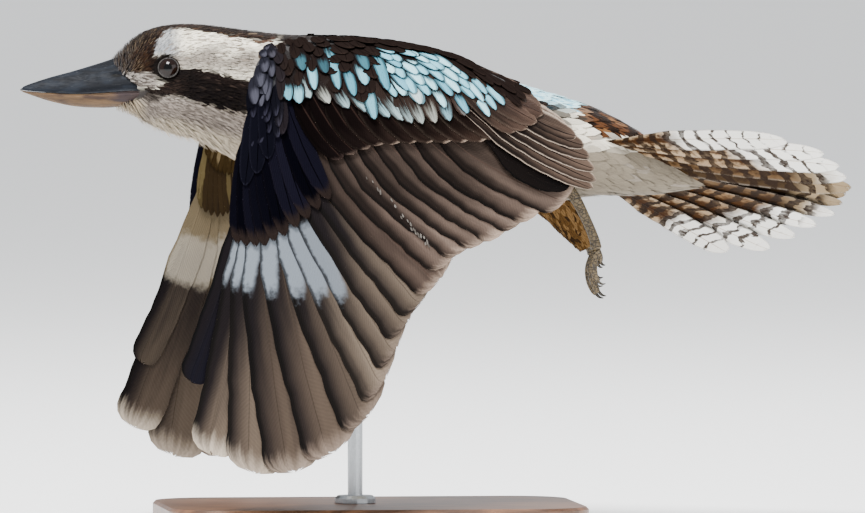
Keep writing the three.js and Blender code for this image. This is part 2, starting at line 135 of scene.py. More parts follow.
def ink(code: str) -> Array:
    """Turn an everyday colour code into linear red, green and blue."""
    parts = np.array([int(code[i:i + 2], 16) for i in (1, 3, 5)]) / 255.0
    return np.where(parts <= 0.04045, parts / 12.92, ((parts + 0.055) / 1.055) ** 2.4)


def blend(one: Array | str, other: Array | str, share: Array) -> Array:
    """Mix two colours, or one for each feather, by a share for each feather."""
    one, other = (ink(colour) if isinstance(colour, str) else colour for colour in (one, other))
    share = np.asarray(share)[..., None]
    return one * (1.0 - share) + other * share


def dyed(count: int, colour: Array | str, value: Array | float) -> Array:
    """A colour with a fourth value for each feather, where one colour or value may stand for all."""
    table = np.empty((count, 4))
    table[:, :3] = ink(colour) if isinstance(colour, str) else colour
    table[:, 3] = value
    return table


def ripple(x: Array, y: Array, pitch: float) -> Array:
    """Slow even waves over a surface, from -1 to 1, about a pitch apart."""
    a, b = x / pitch * 2 * math.pi, y / pitch * 2 * math.pi
    return (np.sin(a) * np.cos(0.83 * b) + np.sin(0.61 * a - 1.37 * b)) / 2


# Surfaces that feathers lie on, in millimetres


@dataclass(frozen=True)
class TrunkSurface:
    """Head, neck, trunk and tail coverts as one run of rounded sections."""

    stations: tuple[tuple[float, float, float, float, float], ...] = (
        (-142, 247, 228, 9, 0.5), (-135, 254.5, 224, 14, 0.5), (-128, 261, 220.5, 18, 0.48),
        (-120, 265.5, 216, 21, 0.46), (-108, 268.5, 210.5, 24.5, 0.46), (-92, 268.8, 206, 26, 0.47),
        (-69, 266, 194, 27, 0.5), (-50, 263.5, 184.5, 33, 0.54), (-30, 262, 176.5, 39, 0.56),
        (0, 261, 169, 42, 0.56), (38, 254, 166, 40, 0.54), (70, 240, 168.5, 34, 0.52),
        (100, 230.5, 173.5, 26, 0.52), (122, 223, 176.5, 22, 0.54), (150, 207.5, 176.5, 17, 0.5),
        (168, 196, 179, 11, 0.45), (181, 185, 181, 3, 0.5),
    )
    fullness: float = 0.88

    def section(self, x: Array) -> tuple[Array, Array, Array, Array]:
        """Height of the widest line, reach above and below it, and half width, at x."""
        table = np.array(self.stations, float)
        top, bottom, half, share = (through(table[:, 0], table[:, k], x) for k in (1, 2, 3, 4))
        centre = bottom + (top - bottom) * share
        return centre, top - centre, centre - bottom, half

    def _bare(self, x: Array, angle: Array) -> Array:
        """Point on the surface itself; the angle runs from the right side over the back."""
        centre, up, down, half = self.section(x)
        cos, sin = np.cos(angle), np.sin(angle)
        y = half * np.sign(cos) * np.abs(cos) ** self.fullness
        rise = np.sign(sin) * np.abs(sin) ** self.fullness
        return columns(x, y, centre + rise * np.where(sin > 0, up, down))

    def slopes(self, x: Array, angle: Array) -> tuple[Array, Array]:
        """How the surface runs along x and along the angle."""
        along = (self._bare(x + 0.4, angle) - self._bare(x - 0.4, angle)) / 0.8
        around = (self._bare(x, angle + 0.01) - self._bare(x, angle - 0.01)) / 0.02
        return along, around

    def point(self, x: Array, angle: Array, height: Array) -> Array:
        """Point at a height over the surface."""
        along, around = self.slopes(x, angle)
        return self._bare(x, angle) + unit(np.cross(around, along)) * np.asarray(height)[..., None]

    def scale(self, x: Array, angle: Array) -> Array:
        """Millimetres per step of x and of the angle."""
        along, around = self.slopes(x, angle)
        return columns(np.linalg.norm(along, axis=-1), np.linalg.norm(around, axis=-1))

    def half_at(self, x: float, z: float) -> float:
        """Half width of the body at a height."""
        centre, up, down, half = (float(v) for v in self.section(np.array(float(x))))
        rise = abs(z - centre) / (up if z > centre else down)
        return half * math.sqrt(1 - min(1.0, rise ** (1 / self.fullness)) ** 2) ** self.fullness


@dataclass(frozen=True)
class WingSurface:
    """The left wing's middle sheet: how far it stands out at a place of the side view."""

    top_line: Line = (
        (-82, 244), (-70, 254), (-52, 260), (-30, 261.5), (0, 260.5), (38, 253.5), (70, 239.5), (98, 230),
        (122, 222),
    )
    upper_line: Line = (
        (69, 238.5), (38, 252.5), (5, 259.6), (-28, 260.8), (-50, 258), (-66, 251), (-73, 233), (-76, 203),
    )
    lower_line: Line = (
        (74, 222), (45, 219), (5, 222), (-26, 225), (-46, 225), (-56, 221), (-63, 212), (-72, 200),
    )
    reach_steps: int = 300

    def top(self, x: Array) -> Array:
        """Height of the wing's upper line at x."""
        table = np.array(self.top_line, float)
        return through(*table.T, x)

    def reach(self, x: Array, z: Array) -> Array:
        """Distance from the middle plane at (x, z)."""
        depth = np.maximum(0.0, self.top(x) - z)
        inner = 55 + (13 - 55) * smooth(-74, -26, x)
        outer = 92 + (35 - 92) * smooth(-25, 122, x)
        curl = 1 - np.exp(-depth / 14)
        return inner + (outer - inner) * curl + 0.12 * depth + 14 * (depth / 228) ** 2

    def point(self, x: Array, z: Array, height: Array) -> Array:
        """Point of the left wing at a height over the sheet, outwards."""
        step = 0.5
        slope_x = (self.reach(x + step, z) - self.reach(x - step, z)) / (2 * step)
        slope_z = (self.reach(x, z + step) - self.reach(x, z - step)) / (2 * step)
        normal = unit(columns(-slope_x, -1.0, -slope_z))
        return columns(x, -self.reach(x, z), z) + normal * np.asarray(height)[..., None]

    def run_down(self, x: Array, far: Array) -> Array:
        """Height z that lies a given way down the sheet from its upper line at x.

        Args:
            x: places along the wing.
            far: ways down from its upper line.

        Returns:
            The heights.
        """
        depth = np.linspace(0.0, 120.0, self.reach_steps)
        top = self.top(x)
        y = self.reach(x[:, None], top[:, None] - depth[None, :])
        steps = np.hypot(np.diff(y, axis=1), np.diff(depth)[None, :])
        run = np.pad(np.cumsum(steps, axis=1), ((0, 0), (1, 0)))
        return top - np.array([np.interp(f, r, depth) for f, r in zip(far, run)])


@dataclass(frozen=True)
class DownWing:
    """The same sheet, with the way down it from the upper line in place of the height."""

    sheet: WingSurface

    def point(self, x: Array, far: Array, height: Array) -> Array:
        """Point of the left wing at a way down the sheet."""
        z = self.sheet.run_down(x.ravel(), far.ravel()).reshape(x.shape)
        return self.sheet.point(x, z, height)


@dataclass(frozen=True)
class TailSurface:
    """The arched fan, twisted so that its left edge stands higher than its right one."""

    root: Spot = (122, 0, 196)
    pitch: float = 10.7
    yaw: float = 8.0
    twist: float = 30.0
    arch: float = 5.0

    def axes(self) -> Array:
        """Directions back along the tail, to its left and out of its upper face, one in each row."""
        turn = (
            Matrix.Rotation(math.radians(-self.yaw), 3, "Z")
            @ Matrix.Rotation(math.radians(self.pitch), 3, "Y")
            @ Matrix.Rotation(math.radians(-self.twist), 3, "X")
        )
        return np.array(turn.transposed()) * np.array([[1.0], [-1.0], [1.0]])

    def point(self, far: Array, across: Array, height: Array) -> Array:
        """Point of the fan at a way back and to its left."""
        arched = height - self.arch * (across / 60) ** 2
        return np.array(self.root) + columns(far, across, arched) @ self.axes()


@dataclass(frozen=True)
class LimbSurface:
    """A round limb along a bent path with a changing radius."""

    path: tuple[Spot, ...]
    radii: tuple[float, ...]

    def length(self) -> float:
        """Length of the path."""
        return sum(math.dist(a, b) for a, b in zip(self.path, self.path[1:]))

    def radius(self, share: Array) -> Array:
        """Radius at a share of the way along."""
        return place_on(tuple((radius,) for radius in self.radii), share)[..., 0]

    def point(self, share: Array, angle: Array, height: Array) -> Array:
        """Point at a share of the way along and an angle round the limb."""
        ahead = unit(place_on(self.path, share + 0.02) - place_on(self.path, share - 0.02))
        side = unit(np.cross(ahead, np.array([0.05, 1.0, 0.0])))
        round_it = np.cos(angle)[..., None] * side + np.sin(angle)[..., None] * np.cross(ahead, side)
        return place_on(self.path, share) + (self.radius(share) + height)[..., None] * round_it

    def scale(self, share: Array, angle: Array) -> Array:
        """Millimetres per step of the share and of the angle."""
        return columns(self.length(), self.radius(share) + 0 * angle)


# Feathers


@dataclass(frozen=True)
class Stamp:
    """One closed feather shape: its points, its faces, and where each face corner lies on it."""

    across: Array
    along: Array
    level: Array
    faces: Array
    corner: Array
    upper: Array


def make_stamp(across: int, rows: list[float], outline: Callable[[float], float], lead: float = 0.0) -> Stamp:
    """Model a feather as a thin vane with a raised shaft and sharp edges.

    Args:
        across: faces across the vane, an even number.
        rows: shares of the length at which the vane has points.
        outline: half width as a share of the full one, at a share of the length.
        lead: how far the shaft lies towards the leading edge, 0 for the middle.

    Returns:
        The shape that the feathers of a tract are cut from.
    """
    mesh = bmesh.new()
    layer = mesh.faces.layers.int.new("upper")
    bmesh.ops.create_grid(mesh, x_segments=across, y_segments=len(rows) - 1, size=1.0)
    for vert in mesh.verts:
        u, row = vert.co.x, round((vert.co.y + 1) / 2 * (len(rows) - 1))
        inside = 0 if abs(u) > 0.999 or row in (0, len(rows) - 1) else 1
        vert.co = (u, rows[row], inside * (1.0 if abs(u) < 0.01 else 0.62))
    for part in mesh.faces:
        part[layer] = 1
    copy = bmesh.ops.duplicate(mesh, geom=mesh.verts[:] + mesh.edges[:] + mesh.faces[:])["geom"]
    for part in copy:
        if isinstance(part, bmesh.types.BMVert):
            part.co.z = 0.0
        elif isinstance(part, bmesh.types.BMFace):
            part[layer] = 0
    bmesh.ops.reverse_faces(mesh, faces=[part for part in copy if isinstance(part, bmesh.types.BMFace)])
    bmesh.ops.remove_doubles(mesh, verts=mesh.verts[:], dist=1e-4)
    mesh.verts.index_update()
    raw = np.array([vert.co[:] for vert in mesh.verts])
    faces = np.array([[vert.index for vert in face.verts] for face in mesh.faces])
    tops = np.array([face[layer] == 1 for face in mesh.faces])
    mesh.free()
    corner = columns((raw[faces][..., 0] + 1) / 2, raw[faces][..., 1])
    width = np.array([outline(v) for v in raw[:, 1]])
    shifted = raw[:, 0] + lead * (1 - raw[:, 0] ** 2)
    return Stamp(shifted * width, raw[:, 1], raw[:, 2], faces, corner, tops)


def round_tip(start: float, base: float, full: float, blunt: float = 2.2) -> Callable[[float], float]:
    """Outline of a vane that widens from its base and ends in a round tip.

    Args:
        start: share of the length where the tip begins to close.
        base: width at the root.
        full: share of the length by which the vane is at its widest.
        blunt: 2 for a round end, more for a squarer one.

    Returns:
        The half width at a share of the length.
    """
    def outline(v: float) -> float:
        grow = base + (1 - base) * float(smooth(0.0, full, np.array(v)))
        close = math.sqrt(max(0.0, 1 - max(0.0, (v - start) / (1.0 - start)) ** blunt))
        return grow * max(0.1, close)
    return outline


def rows_of(count: int, tip: float = 1.6) -> list[float]:
    """Shares of the length, closer together towards the tip."""
    return [1 - (1 - i / count) ** tip for i in range(count + 1)]


class Stamps(Enum):
    """The feather shapes in use: faces across, places along, outline, and the shaft's shift forwards."""

    TUFT = 2, [0, 0.5, 1], lambda v: 1 - 0.75 * v ** 3
    BODY = 2, [0, 0.4, 0.8, 1], round_tip(0.45, 0.5, 0.4)
    COVERT = 4, rows_of(6), round_tip(0.6, 0.45, 0.35)
    FLIGHT = 6, rows_of(22, 1.5), round_tip(0.93, 0.22, 0.5, 3.0), 0.25
    OUTER = 6, rows_of(20, 1.3), round_tip(0.6, 0.3, 0.4, 1.9), 0.3
    TAIL = 6, rows_of(22, 1.4), round_tip(0.8, 0.22, 0.5, 1.9), 0.1

    @cache
    def cut(self) -> Stamp:
        """Model the shape once and keep it."""
        return make_stamp(*self.value)


PER_FEATHER = ("length", "width", "low", "high", "bow", "edge", "skew")


@dataclass
class Tract:
    """A run of feathers: where each starts, how it points and its size, colours and place in the bake."""

    roots: Array
    heading: Array
    length: Array | float
    width: Array | float
    low: Array | float
    high: Array | float
    tint: Array
    shaft: Array | None = None
    tip: Array | None = None
    base: Array | None = None
    patch: Array | None = None
    scale: Array | float = 1.0
    bow: Array | float = 0.0
    edge: Array | float = 0.0
    skew: Array | float = 0.0
    thick: float = 0.35
    home: Array | None = None

    def __post_init__(self) -> None:
        """Spread single numbers over all feathers."""
        for name in PER_FEATHER:
            setattr(self, name, getattr(self, name) * np.ones(len(self)))
        self.scale = self.scale * np.ones((len(self), 2))
        if self.home is not None:
            self.home = np.clip(self.home, 0.004, 0.996)

    def __len__(self) -> int:
        """Number of feathers."""
        return len(self.roots)

    def dye(self, **parts: tuple[Array | str, Array | float]) -> None:
        """Set colours by name, each with its fourth value."""
        for name, (colour, value) in parts.items():
            setattr(self, name, dyed(len(self), colour, value))

    def only(self, keep: Array) -> "Tract":
        """The same run with some of its feathers left out."""
        parts = vars(self).items()
        return Tract(**{name: part[keep] if isinstance(part, np.ndarray) else part for name, part in parts})

    def lay(self, surface: object, stamp: Stamp, face: Face) -> Array:
        """Lay every feather on a surface.

        Args:
            surface: what the feathers lie on.
            stamp: their shape.
            face: the upper or the under face of a wing or tail.

        Returns:
            The points of all feathers, in millimetres.
        """
        length, width, low, high, bow, edge, skew = (getattr(self, name)[:, None] for name in PER_FEATHER)
        phase = 40.0 * self.tint[:, 3:]
        ragged = 0.05 * np.sin(19 * stamp.along + phase) * np.sin(43 * stamp.along - phase + 2 * stamp.across)
        across = width / 2 * stamp.across * (1 + ragged) + bow * np.sin(math.pi * stamp.along)
        along = length * stamp.along + skew * across * smooth(0.4, 0.93, stamp.along)
        ahead, aside = self.heading[:, :, None], self.heading[:, ::-1, None] * np.array([[1.0], [-1.0]])
        way = ahead * along[:, None] + aside * across[:, None]
        place = self.roots[:, :, None] + way / self.scale[:, :, None]
        height = low + (high - low) * stamp.along + edge * stamp.across + self.thick * stamp.level
        return surface.point(place[:, 0], place[:, 1], face.value * height)


def added(name: str, mesh: Mesh, finish: Material, crease: float) -> Object:
    """Make a mesh a piece of the model.

    Args:
        name: the piece's name.
        mesh: its shape.
        finish: the material.
        crease: angle in degrees above which its edges look sharp.

    Returns:
        The new object, riding on the body.
    """
    mesh.shade_smooth()
    mesh.set_sharp_from_angle(angle=math.radians(crease))
    mesh.materials.append(finish)
    piece = bpy.data.objects.new(name, mesh)
    bpy.context.scene.collection.objects.link(piece)
    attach(piece, BODY)
    LOG.info("%s: %d faces", name, len(mesh.polygons))
    return piece


def add_colours(mesh: Mesh, name: str, values: Array) -> None:
    """Keep a colour for each point of a mesh."""
    layer = mesh.color_attributes.new(name=name, type="FLOAT_COLOR", domain="POINT")
    layer.data.foreach_set("color", values.astype(np.float32).ravel())


def faces_out(stamp: Stamp, points: Array) -> bool:
    """Whether the faces of laid feathers look away from the feathers' inside.

    Args:
        stamp: the feathers' shape.
        points: their points.

    Returns:
        True where they look away from it.
    """
    quad = stamp.faces[np.argmax(stamp.upper)]
    middle = np.argmax(stamp.level)
    normal = np.cross(points[:, quad[1]] - points[:, quad[0]], points[:, quad[3]] - points[:, quad[0]])
    off = np.abs(stamp.across - stamp.across[middle]) + np.abs(stamp.along - stamp.along[middle])
    beneath = np.argmin(off + 9 * (stamp.level > 0.3))
    return np.einsum("ij,ij->i", normal, points[:, middle] - points[:, beneath]).mean() > 0


def feather_piece(name: str, shape: Stamps, surface: object, tract: Tract, finish: Material,
                  face: Face = Face.UPPER, mirrored: bool = False) -> Object:
    """Lay the feathers of a tract and join them into one piece with its colours and maps.

    Args:
        name: the piece's name.
        shape: the shape of the feathers.
        surface: what they lie on.
        tract: the run that they belong to.
        finish: the material.
        face: the upper or the under face of a wing or tail.
        mirrored: whether the piece belongs on the other side of the middle plane.

    Returns:
        The new object, riding on the body.
    """
    stamp = shape.cut()
    points = tract.lay(surface, stamp, face) * np.array([1.0, -1.0 if mirrored else 1.0, 1.0])
    count, size, _ = points.shape
    faces, corner = stamp.faces, stamp.corner
    if not faces_out(stamp, points):
        faces, corner = faces[:, ::-1], corner[:, ::-1]
    everything = (faces[None] + size * np.arange(count)[:, None, None]).reshape(-1, 4)
    mesh = bpy.data.meshes.new(name)
    mesh.from_pydata((points.reshape(-1, 3) * MM).tolist(), [], everything.tolist())
    corners = np.broadcast_to(corner, (count,) + corner.shape)
    under = (~stamp.upper)[None, :, None]
    if tract.home is None:
        per_row = 2 * math.ceil(math.sqrt(count * 2) / 2)
        index = np.arange(count) * 2
        home = columns(index % per_row, index // per_row) / per_row
        spread = columns(corners[..., 0] + under, corners[..., 1]) * 0.95 / per_row
    else:
        home, spread = tract.home, (corners - 0.5) * 0.003
    vane = columns(corners[..., 0] + 2.0 * under, corners[..., 1])
    for label, uv in (("OFBake", home[:, None, None, :] + spread), ("Vane", vane)):
        layer = mesh.uv_layers.new(name=label)
        layer.uv.foreach_set("vector", np.ascontiguousarray(uv, dtype=np.float32).ravel())
    for label in ("tint", "shaft", "tip", "base", "patch"):
        if getattr(tract, label) is not None:
            add_colours(mesh, label, np.repeat(getattr(tract, label), size, axis=0))
    return added(name, mesh, finish, 75)


# Meshes from a sheet


def sheet_piece(name: str, across: int, along: int, place: Callable[[Array, Array], Array],
                finish: Material, ends: bool = True,
                colour: Callable[[Array], Array] | None = None) -> Object:
    """Bend a grid into a closed shape.

    Args:
        name: the piece's name.
        across: faces round the shape.
        along: faces from end to end.
        place: gives points in millimetres for shares round and along.
        finish: the material.
        ends: whether the open ends are filled.
        colour: gives the tint attribute for points in millimetres.

    Returns:
        The new object, riding on the body.
    """
    shape = bmesh.new()
    bmesh.ops.create_grid(shape, x_segments=across, y_segments=along, size=1.0)
    shape.verts.index_update()
    flat = np.array([vert.co[:2] for vert in shape.verts]) / 2 + 0.5
    unwrap = shape.loops.layers.uv.new("OFBake")
    for part in shape.faces:
        for loop in part.loops:
            loop[unwrap].uv = flat[loop.vert.index]
    for vert, point in zip(shape.verts, place(flat[:, 0], flat[:, 1]) * MM):
        vert.co = point
    bmesh.ops.remove_doubles(shape, verts=shape.verts[:], dist=2e-6)
    if ends:
        bmesh.ops.holes_fill(shape, edges=[edge for edge in shape.edges if edge.is_boundary])
    bmesh.ops.recalc_face_normals(shape, faces=shape.faces[:])
    mesh = bpy.data.meshes.new(name)
    shape.to_mesh(mesh)
    shape.free()
    if colour is not None:
        points = np.empty(len(mesh.vertices) * 3)
        mesh.vertices.foreach_get("co", points)
        add_colours(mesh, "tint", dyed(len(mesh.vertices), colour(points.reshape(-1, 3) / MM), 0.5))
    return added(name, mesh, finish, 50)


# Node graphs


SOCKETS = {"colour": "NodeSocketColor", "number": "NodeSocketFloat", "vector": "NodeSocketVector"}
TURN = 6.2832


@dataclass(frozen=True)
class Wire:
    """A value on its way through a node tree; plain arithmetic on it adds the nodes for it."""

    graph: "Graph"
    socket: NodeSocket

    def __add__(self, other: object) -> "Wire":
        """The sum."""
        return self.graph.math("ADD", self, other)

    def __sub__(self, other: object) -> "Wire":
        """The difference."""
        return self.graph.math("SUBTRACT", self, other)

    def __rsub__(self, other: object) -> "Wire":
        """The difference from a number on the left."""
        return self.graph.math("SUBTRACT", other, self)

    def __mul__(self, other: object) -> "Wire":
        """The product."""
        return self.graph.math("MULTIPLY", self, other)

    def __truediv__(self, other: object) -> "Wire":
        """The quotient."""
        return self.graph.math("DIVIDE", self, other)


@dataclass
class Graph:
    """Short words for building a node tree."""

    tree: NodeTree

    def add(self, kind: str, feeds: dict | None = None, **settings: object) -> Node:
        """Add a node, set it up and feed its sockets with values or links."""
        node = self.tree.nodes.new(kind)
        for name, value in settings.items():
            setattr(node, name, value)
        for name, value in (feeds or {}).items():
            self.feed(node.inputs[name], value)
        return node

    def made(self, kind: str, feeds: dict | None = None, **settings: object) -> Wire:
        """The first output of a new node."""
        return Wire(self, self.add(kind, feeds, **settings).outputs[0])

    def feed(self, socket: NodeSocket, value: object) -> None:
        """Link a socket to a wire, or set its value."""
        if isinstance(value, Wire):
            self.tree.links.new(value.socket, socket)
        elif socket.type == "RGBA" and len(value) == 3:
            socket.default_value = (*value, 1.0)
        else:
            socket.default_value = value

    def math(self, operation: str, *values: object, clamp: bool = False) -> Wire:
        """Work out one number from others."""
        return self.made("ShaderNodeMath", dict(enumerate(values)), operation=operation, use_clamp=clamp)

    def mix(self, share: object, one: object, other: object, way: str = "MIX") -> Wire:
        """Mix two colours by a share."""
        settings = {"data_type": "RGBA", "blend_type": way, "clamp_factor": True}
        return Wire(self, self.add("ShaderNodeMix", {0: share, 6: one, 7: other}, **settings).outputs[2])

    def shaded(self, colour: Wire, value: Wire) -> Wire:
        """Multiply a colour by a number."""
        grey = self.made("ShaderNodeCombineColor", {0: value, 1: value, 2: value})
        return self.mix(1.0, colour, grey, "MULTIPLY")

    def ramp(self, value: object, low: object, high: object, start: float = 0.0, end: float = 1.0) -> Wire:
        """Ease from start to end while the value runs from low to high."""
        feeds = {0: value, 1: low, 2: high, 3: start, 4: end}
        return self.made("ShaderNodeMapRange", feeds, interpolation_type="SMOOTHSTEP")

    def noise(self, where: object, scale: float, detail: float = 3.0) -> Wire:
        """Soft random values about 0.5."""
        feeds = {"Vector": where, "Scale": scale, "Detail": detail, "Roughness": 0.55}
        return self.made("ShaderNodeTexNoise", feeds)

    def stretched(self, where: object, factors: Spot) -> Wire:
        """Scale a vector's parts."""
        return self.made("ShaderNodeVectorMath", {0: where, 1: factors}, operation="MULTIPLY")

    def vector(self, *parts: object) -> Wire:
        """Put three numbers together."""
        return self.made("ShaderNodeCombineXYZ", dict(enumerate(parts)))

    def parts(self, vector: object) -> list[Wire]:
        """The three parts of a vector."""
        return [Wire(self, part) for part in self.add("ShaderNodeSeparateXYZ", {"Vector": vector}).outputs]

    def place(self) -> Wire:
        """The object's own coordinates, in metres."""
        return Wire(self, self.add("ShaderNodeTexCoord").outputs["Object"])

    def uv(self, name: str) -> Wire:
        """A UV map of the piece."""
        return self.made("ShaderNodeUVMap", uv_map=name)

    def stored(self, name: str) -> tuple[Wire, Wire]:
        """A colour attribute of the piece and its fourth value."""
        node = self.add("ShaderNodeAttribute", attribute_name=name)
        return Wire(self, node.outputs["Color"]), Wire(self, node.outputs["Alpha"])

    def group(self, tree: NodeTree, **feeds: object) -> SimpleNamespace:
        """Place a shared group and give its outputs by name."""
        node = self.add("ShaderNodeGroup", node_tree=tree)
        for name, value in feeds.items():
            self.feed(node.inputs[name], value)
        return SimpleNamespace(**{socket.name: Wire(self, socket) for socket in node.outputs})

    def bump(self, height: object, distance: float) -> Wire:
        """Turn a height into a surface normal; the distance is in metres at full height."""
        return self.made("ShaderNodeBump", {"Height": height, "Distance": distance, "Strength": 1.0})

    def close(self, colour: Wire, **numbers: Wire) -> NodeTree:
        """End a shader group with its outputs."""
        outputs = {"colour": colour, **numbers}
        for name in outputs:
            kind = SOCKETS["colour" if name == "colour" else "number"]
            self.tree.interface.new_socket(name, in_out="OUTPUT", socket_type=kind)
        self.add("NodeGroupOutput", outputs)
        return self.tree


def new_group(title: str, **names: str) -> tuple[Graph, SimpleNamespace]:
    """Start a shader group.

    Args:
        title: the group's name.
        names: names of its inputs, in one string for each kind: vector, colour and number.

    Returns:
        The graph and its inputs by name.
    """
    tree = bpy.data.node_groups.new(title, "ShaderNodeTree")
    for kind, labels in names.items():
        for label in labels.split():
            tree.interface.new_socket(label, in_out="INPUT", socket_type=SOCKETS[kind])
    graph = Graph(tree)
    sockets = tree.nodes.new("NodeGroupInput").outputs
    return graph, SimpleNamespace(**{socket.name: Wire(graph, socket) for socket in sockets if socket.name})


def vane_group() -> NodeTree:
    """A feather's own pattern: base colour, shaft streak, tip and edges, with painted shade along the fine
    lines of its barbs.
    """
    graph, given = new_group("Vane", vector="vane where", colour="tint shaft tip",
                             number="chance streak start barbs slant edge depth spot fray")
    u, along, _ = graph.parts(given.vane)
    under = graph.math("GREATER_THAN", u, 1.5)
    side = (u - under * 2.0 - 0.5) * 2.0
    far = graph.math("ABSOLUTE", side)
    grain = graph.noise(given.where, 700.0)
    lane = graph.vector(given.chance * 61.0 + side * 6.5, along * 1.7, given.chance * 23.0)
    hairs = graph.noise(lane, 1.0, 2.0) - 0.5
    wander = (graph.noise(given.where, 480.0) - 0.5) * 0.16
    phase = (along - far * given.slant + wander * 0.06) * given.barbs + given.chance * 7.0
    comb = graph.math("SINE", phase * TURN) * 0.5 + 0.5
    width = given.streak + wander * given.streak
    colour = graph.mix(1.0 - graph.ramp(far, width * 0.6, width), given.tint, given.shaft)
    rim = graph.ramp(far + wander, 0.7, 0.98) * given.edge
    reach = along + wander * 8.0 / given.barbs + far / given.barbs + hairs * (given.spot * 0.4 + 0.08)
    begin = given.start + 0.02
    tip = graph.ramp(reach, begin, begin + (given.spot * 0.2 + 0.1))
    inner = 1.0 - graph.ramp(hairs * 0.9 + far, 0.32, 0.92) * given.spot
    colour = graph.mix(graph.math("MAXIMUM", rim, tip * inner), colour, given.tip)
    # Painted shade along the barb lines and fine grains, times a random tone for each feather.
    shade = (given.depth * 0.55 + 1.0 - (comb * 0.6 + grain) * given.depth) * (given.chance * 0.16 + 0.92)
    relief = comb * 0.45 + (1.0 - graph.ramp(far, 0.02, 0.1)) * 0.8 + grain * 0.5
    hair = graph.math("SINE", phase * 15.0) * 0.3 + 0.3 + grain * 0.8
    limit = 1.02 - (1.0 - hair) * given.fray
    end = along + hairs * given.fray * 0.45
    cover = graph.ramp(far, limit, limit + 0.06, 1.0, 0.0) * graph.ramp(end, 0.992, 1.0, 1.0, 0.0)
    colour = graph.shaded(colour, shade)
    return graph.close(colour, relief=relief, side=side, along=along, under=under, cover=cover)


def cast_group() -> NodeTree:
    """A dark base, with painted shade along the leading edge where the feathers overlap, that lightens in
    soft streaks towards the tip and the hidden vane.
    """
    graph, given = new_group("Cast", vector="vane", colour="base tint", number="fade cast chance strip")
    u, along, _ = graph.parts(given.vane)
    side = graph.math("FRACT", u * 0.999) * 2.0 - 1.0
    streaks = graph.noise(graph.vector(side * 2.4, along * 2.2, given.chance * 37.0), 1.0) - 0.5
    late = graph.ramp(streaks * 0.5 + along, given.fade * 0.5, given.fade * 1.4)
    side = (side - 1.0) * given.strip + 1.0
    # Painted light: lighter away from the leading edge, towards the hidden vane.
    lit = graph.ramp(streaks * 0.8 + side, late * 0.75 + 0.1, -0.5)
    share = (lit * given.cast + 1.0 - given.cast) * (streaks * 1.6 + 1.0) * (late * 0.62 + 0.38)
    share = share * graph.ramp(along, 0.4, 0.97, 0.62, 1.0)
    # Painted shade: the leading edge darkens towards black where the next feather overlaps it.
    shaded_ground = graph.mix(graph.ramp(side, 0.45, 0.85) * 0.85, given.base, ink("#020202"))
    return graph.close(graph.mix(share, shaded_ground, given.tint))


def bars_group() -> NodeTree:
    """Rufous and black bars on the near half of a tail feather, thin dark waves on its white far half."""
    graph, given = new_group("Tail bars", vector="where", number="side along chance turn bars")
    far = graph.math("ABSOLUTE", given.side)
    wander = graph.noise(given.where, 110.0) - 0.5
    place = given.along - far * 0.03 + wander * 0.1
    wave = graph.math("SINE", (place * given.bars + given.chance) * TURN)
    turn = (given.chance - 0.5) * 0.08 + given.turn
    late = graph.ramp(given.along + wander * 0.1, turn - 0.07, turn + 0.07)
    thin = graph.ramp(given.along, turn - 0.05, turn + 0.3)
    limit = thin * 0.82 + 0.05
    bar = graph.ramp(wave, limit - 0.13, limit + 0.09) * (1.0 - graph.ramp(given.along, 0.9, 0.95))
    gaps = graph.ramp(graph.noise(given.where, 210.0), 0.36, 0.5)
    mottle = graph.math("MULTIPLY_ADD", graph.noise(given.where, 340.0), 0.9, 0.45, clamp=True)
    bar = bar * graph.mix(thin, mottle, gaps)
    patches = graph.noise(given.where, 260.0) * 1.6 - 0.8
    pale = graph.mix(graph.ramp(given.turn, 0.56, 0.8), ink("#A78F71"), ink("#755A3C"))
    warm = graph.mix(graph.ramp(far + patches, 0.25, 0.95), ink("#38220F"), pale)
    warm = graph.mix(graph.ramp(given.turn, 0.85, 1.05) * 0.85, warm, ink("#22180C"))
    warm = graph.mix(graph.ramp(given.along, 0.74, 0.88), warm, ink("#857359"))
    base = graph.mix(late, warm, ink("#E9E6DF"))
    base = graph.mix(graph.ramp(far, 0.82, 1.0) * 0.55, base, ink("#857D73"))
    dark = graph.mix(thin * 0.4, ink("#22170F"), ink("#4F453D"))
    return graph.close(graph.mix(bar, base, dark))


# Finishes


@dataclass(frozen=True)
class Finish:
    """A surface whose material is fed by its inputs."""

    name: str

    def inputs(self, graph: Graph) -> dict[str, object]:
        """Values and links of the Principled surface, by socket."""
        raise NotImplementedError

    def make(self) -> Material:
        """Build the material."""
        material = bpy.data.materials.new(self.name)
        material.use_nodes = True
        material.node_tree.nodes.clear()
        graph = Graph(material.node_tree)
        surface = graph.made("ShaderNodeBsdfPrincipled", self.inputs(graph))
        graph.add("ShaderNodeOutputMaterial", {"Surface": surface})
        return material


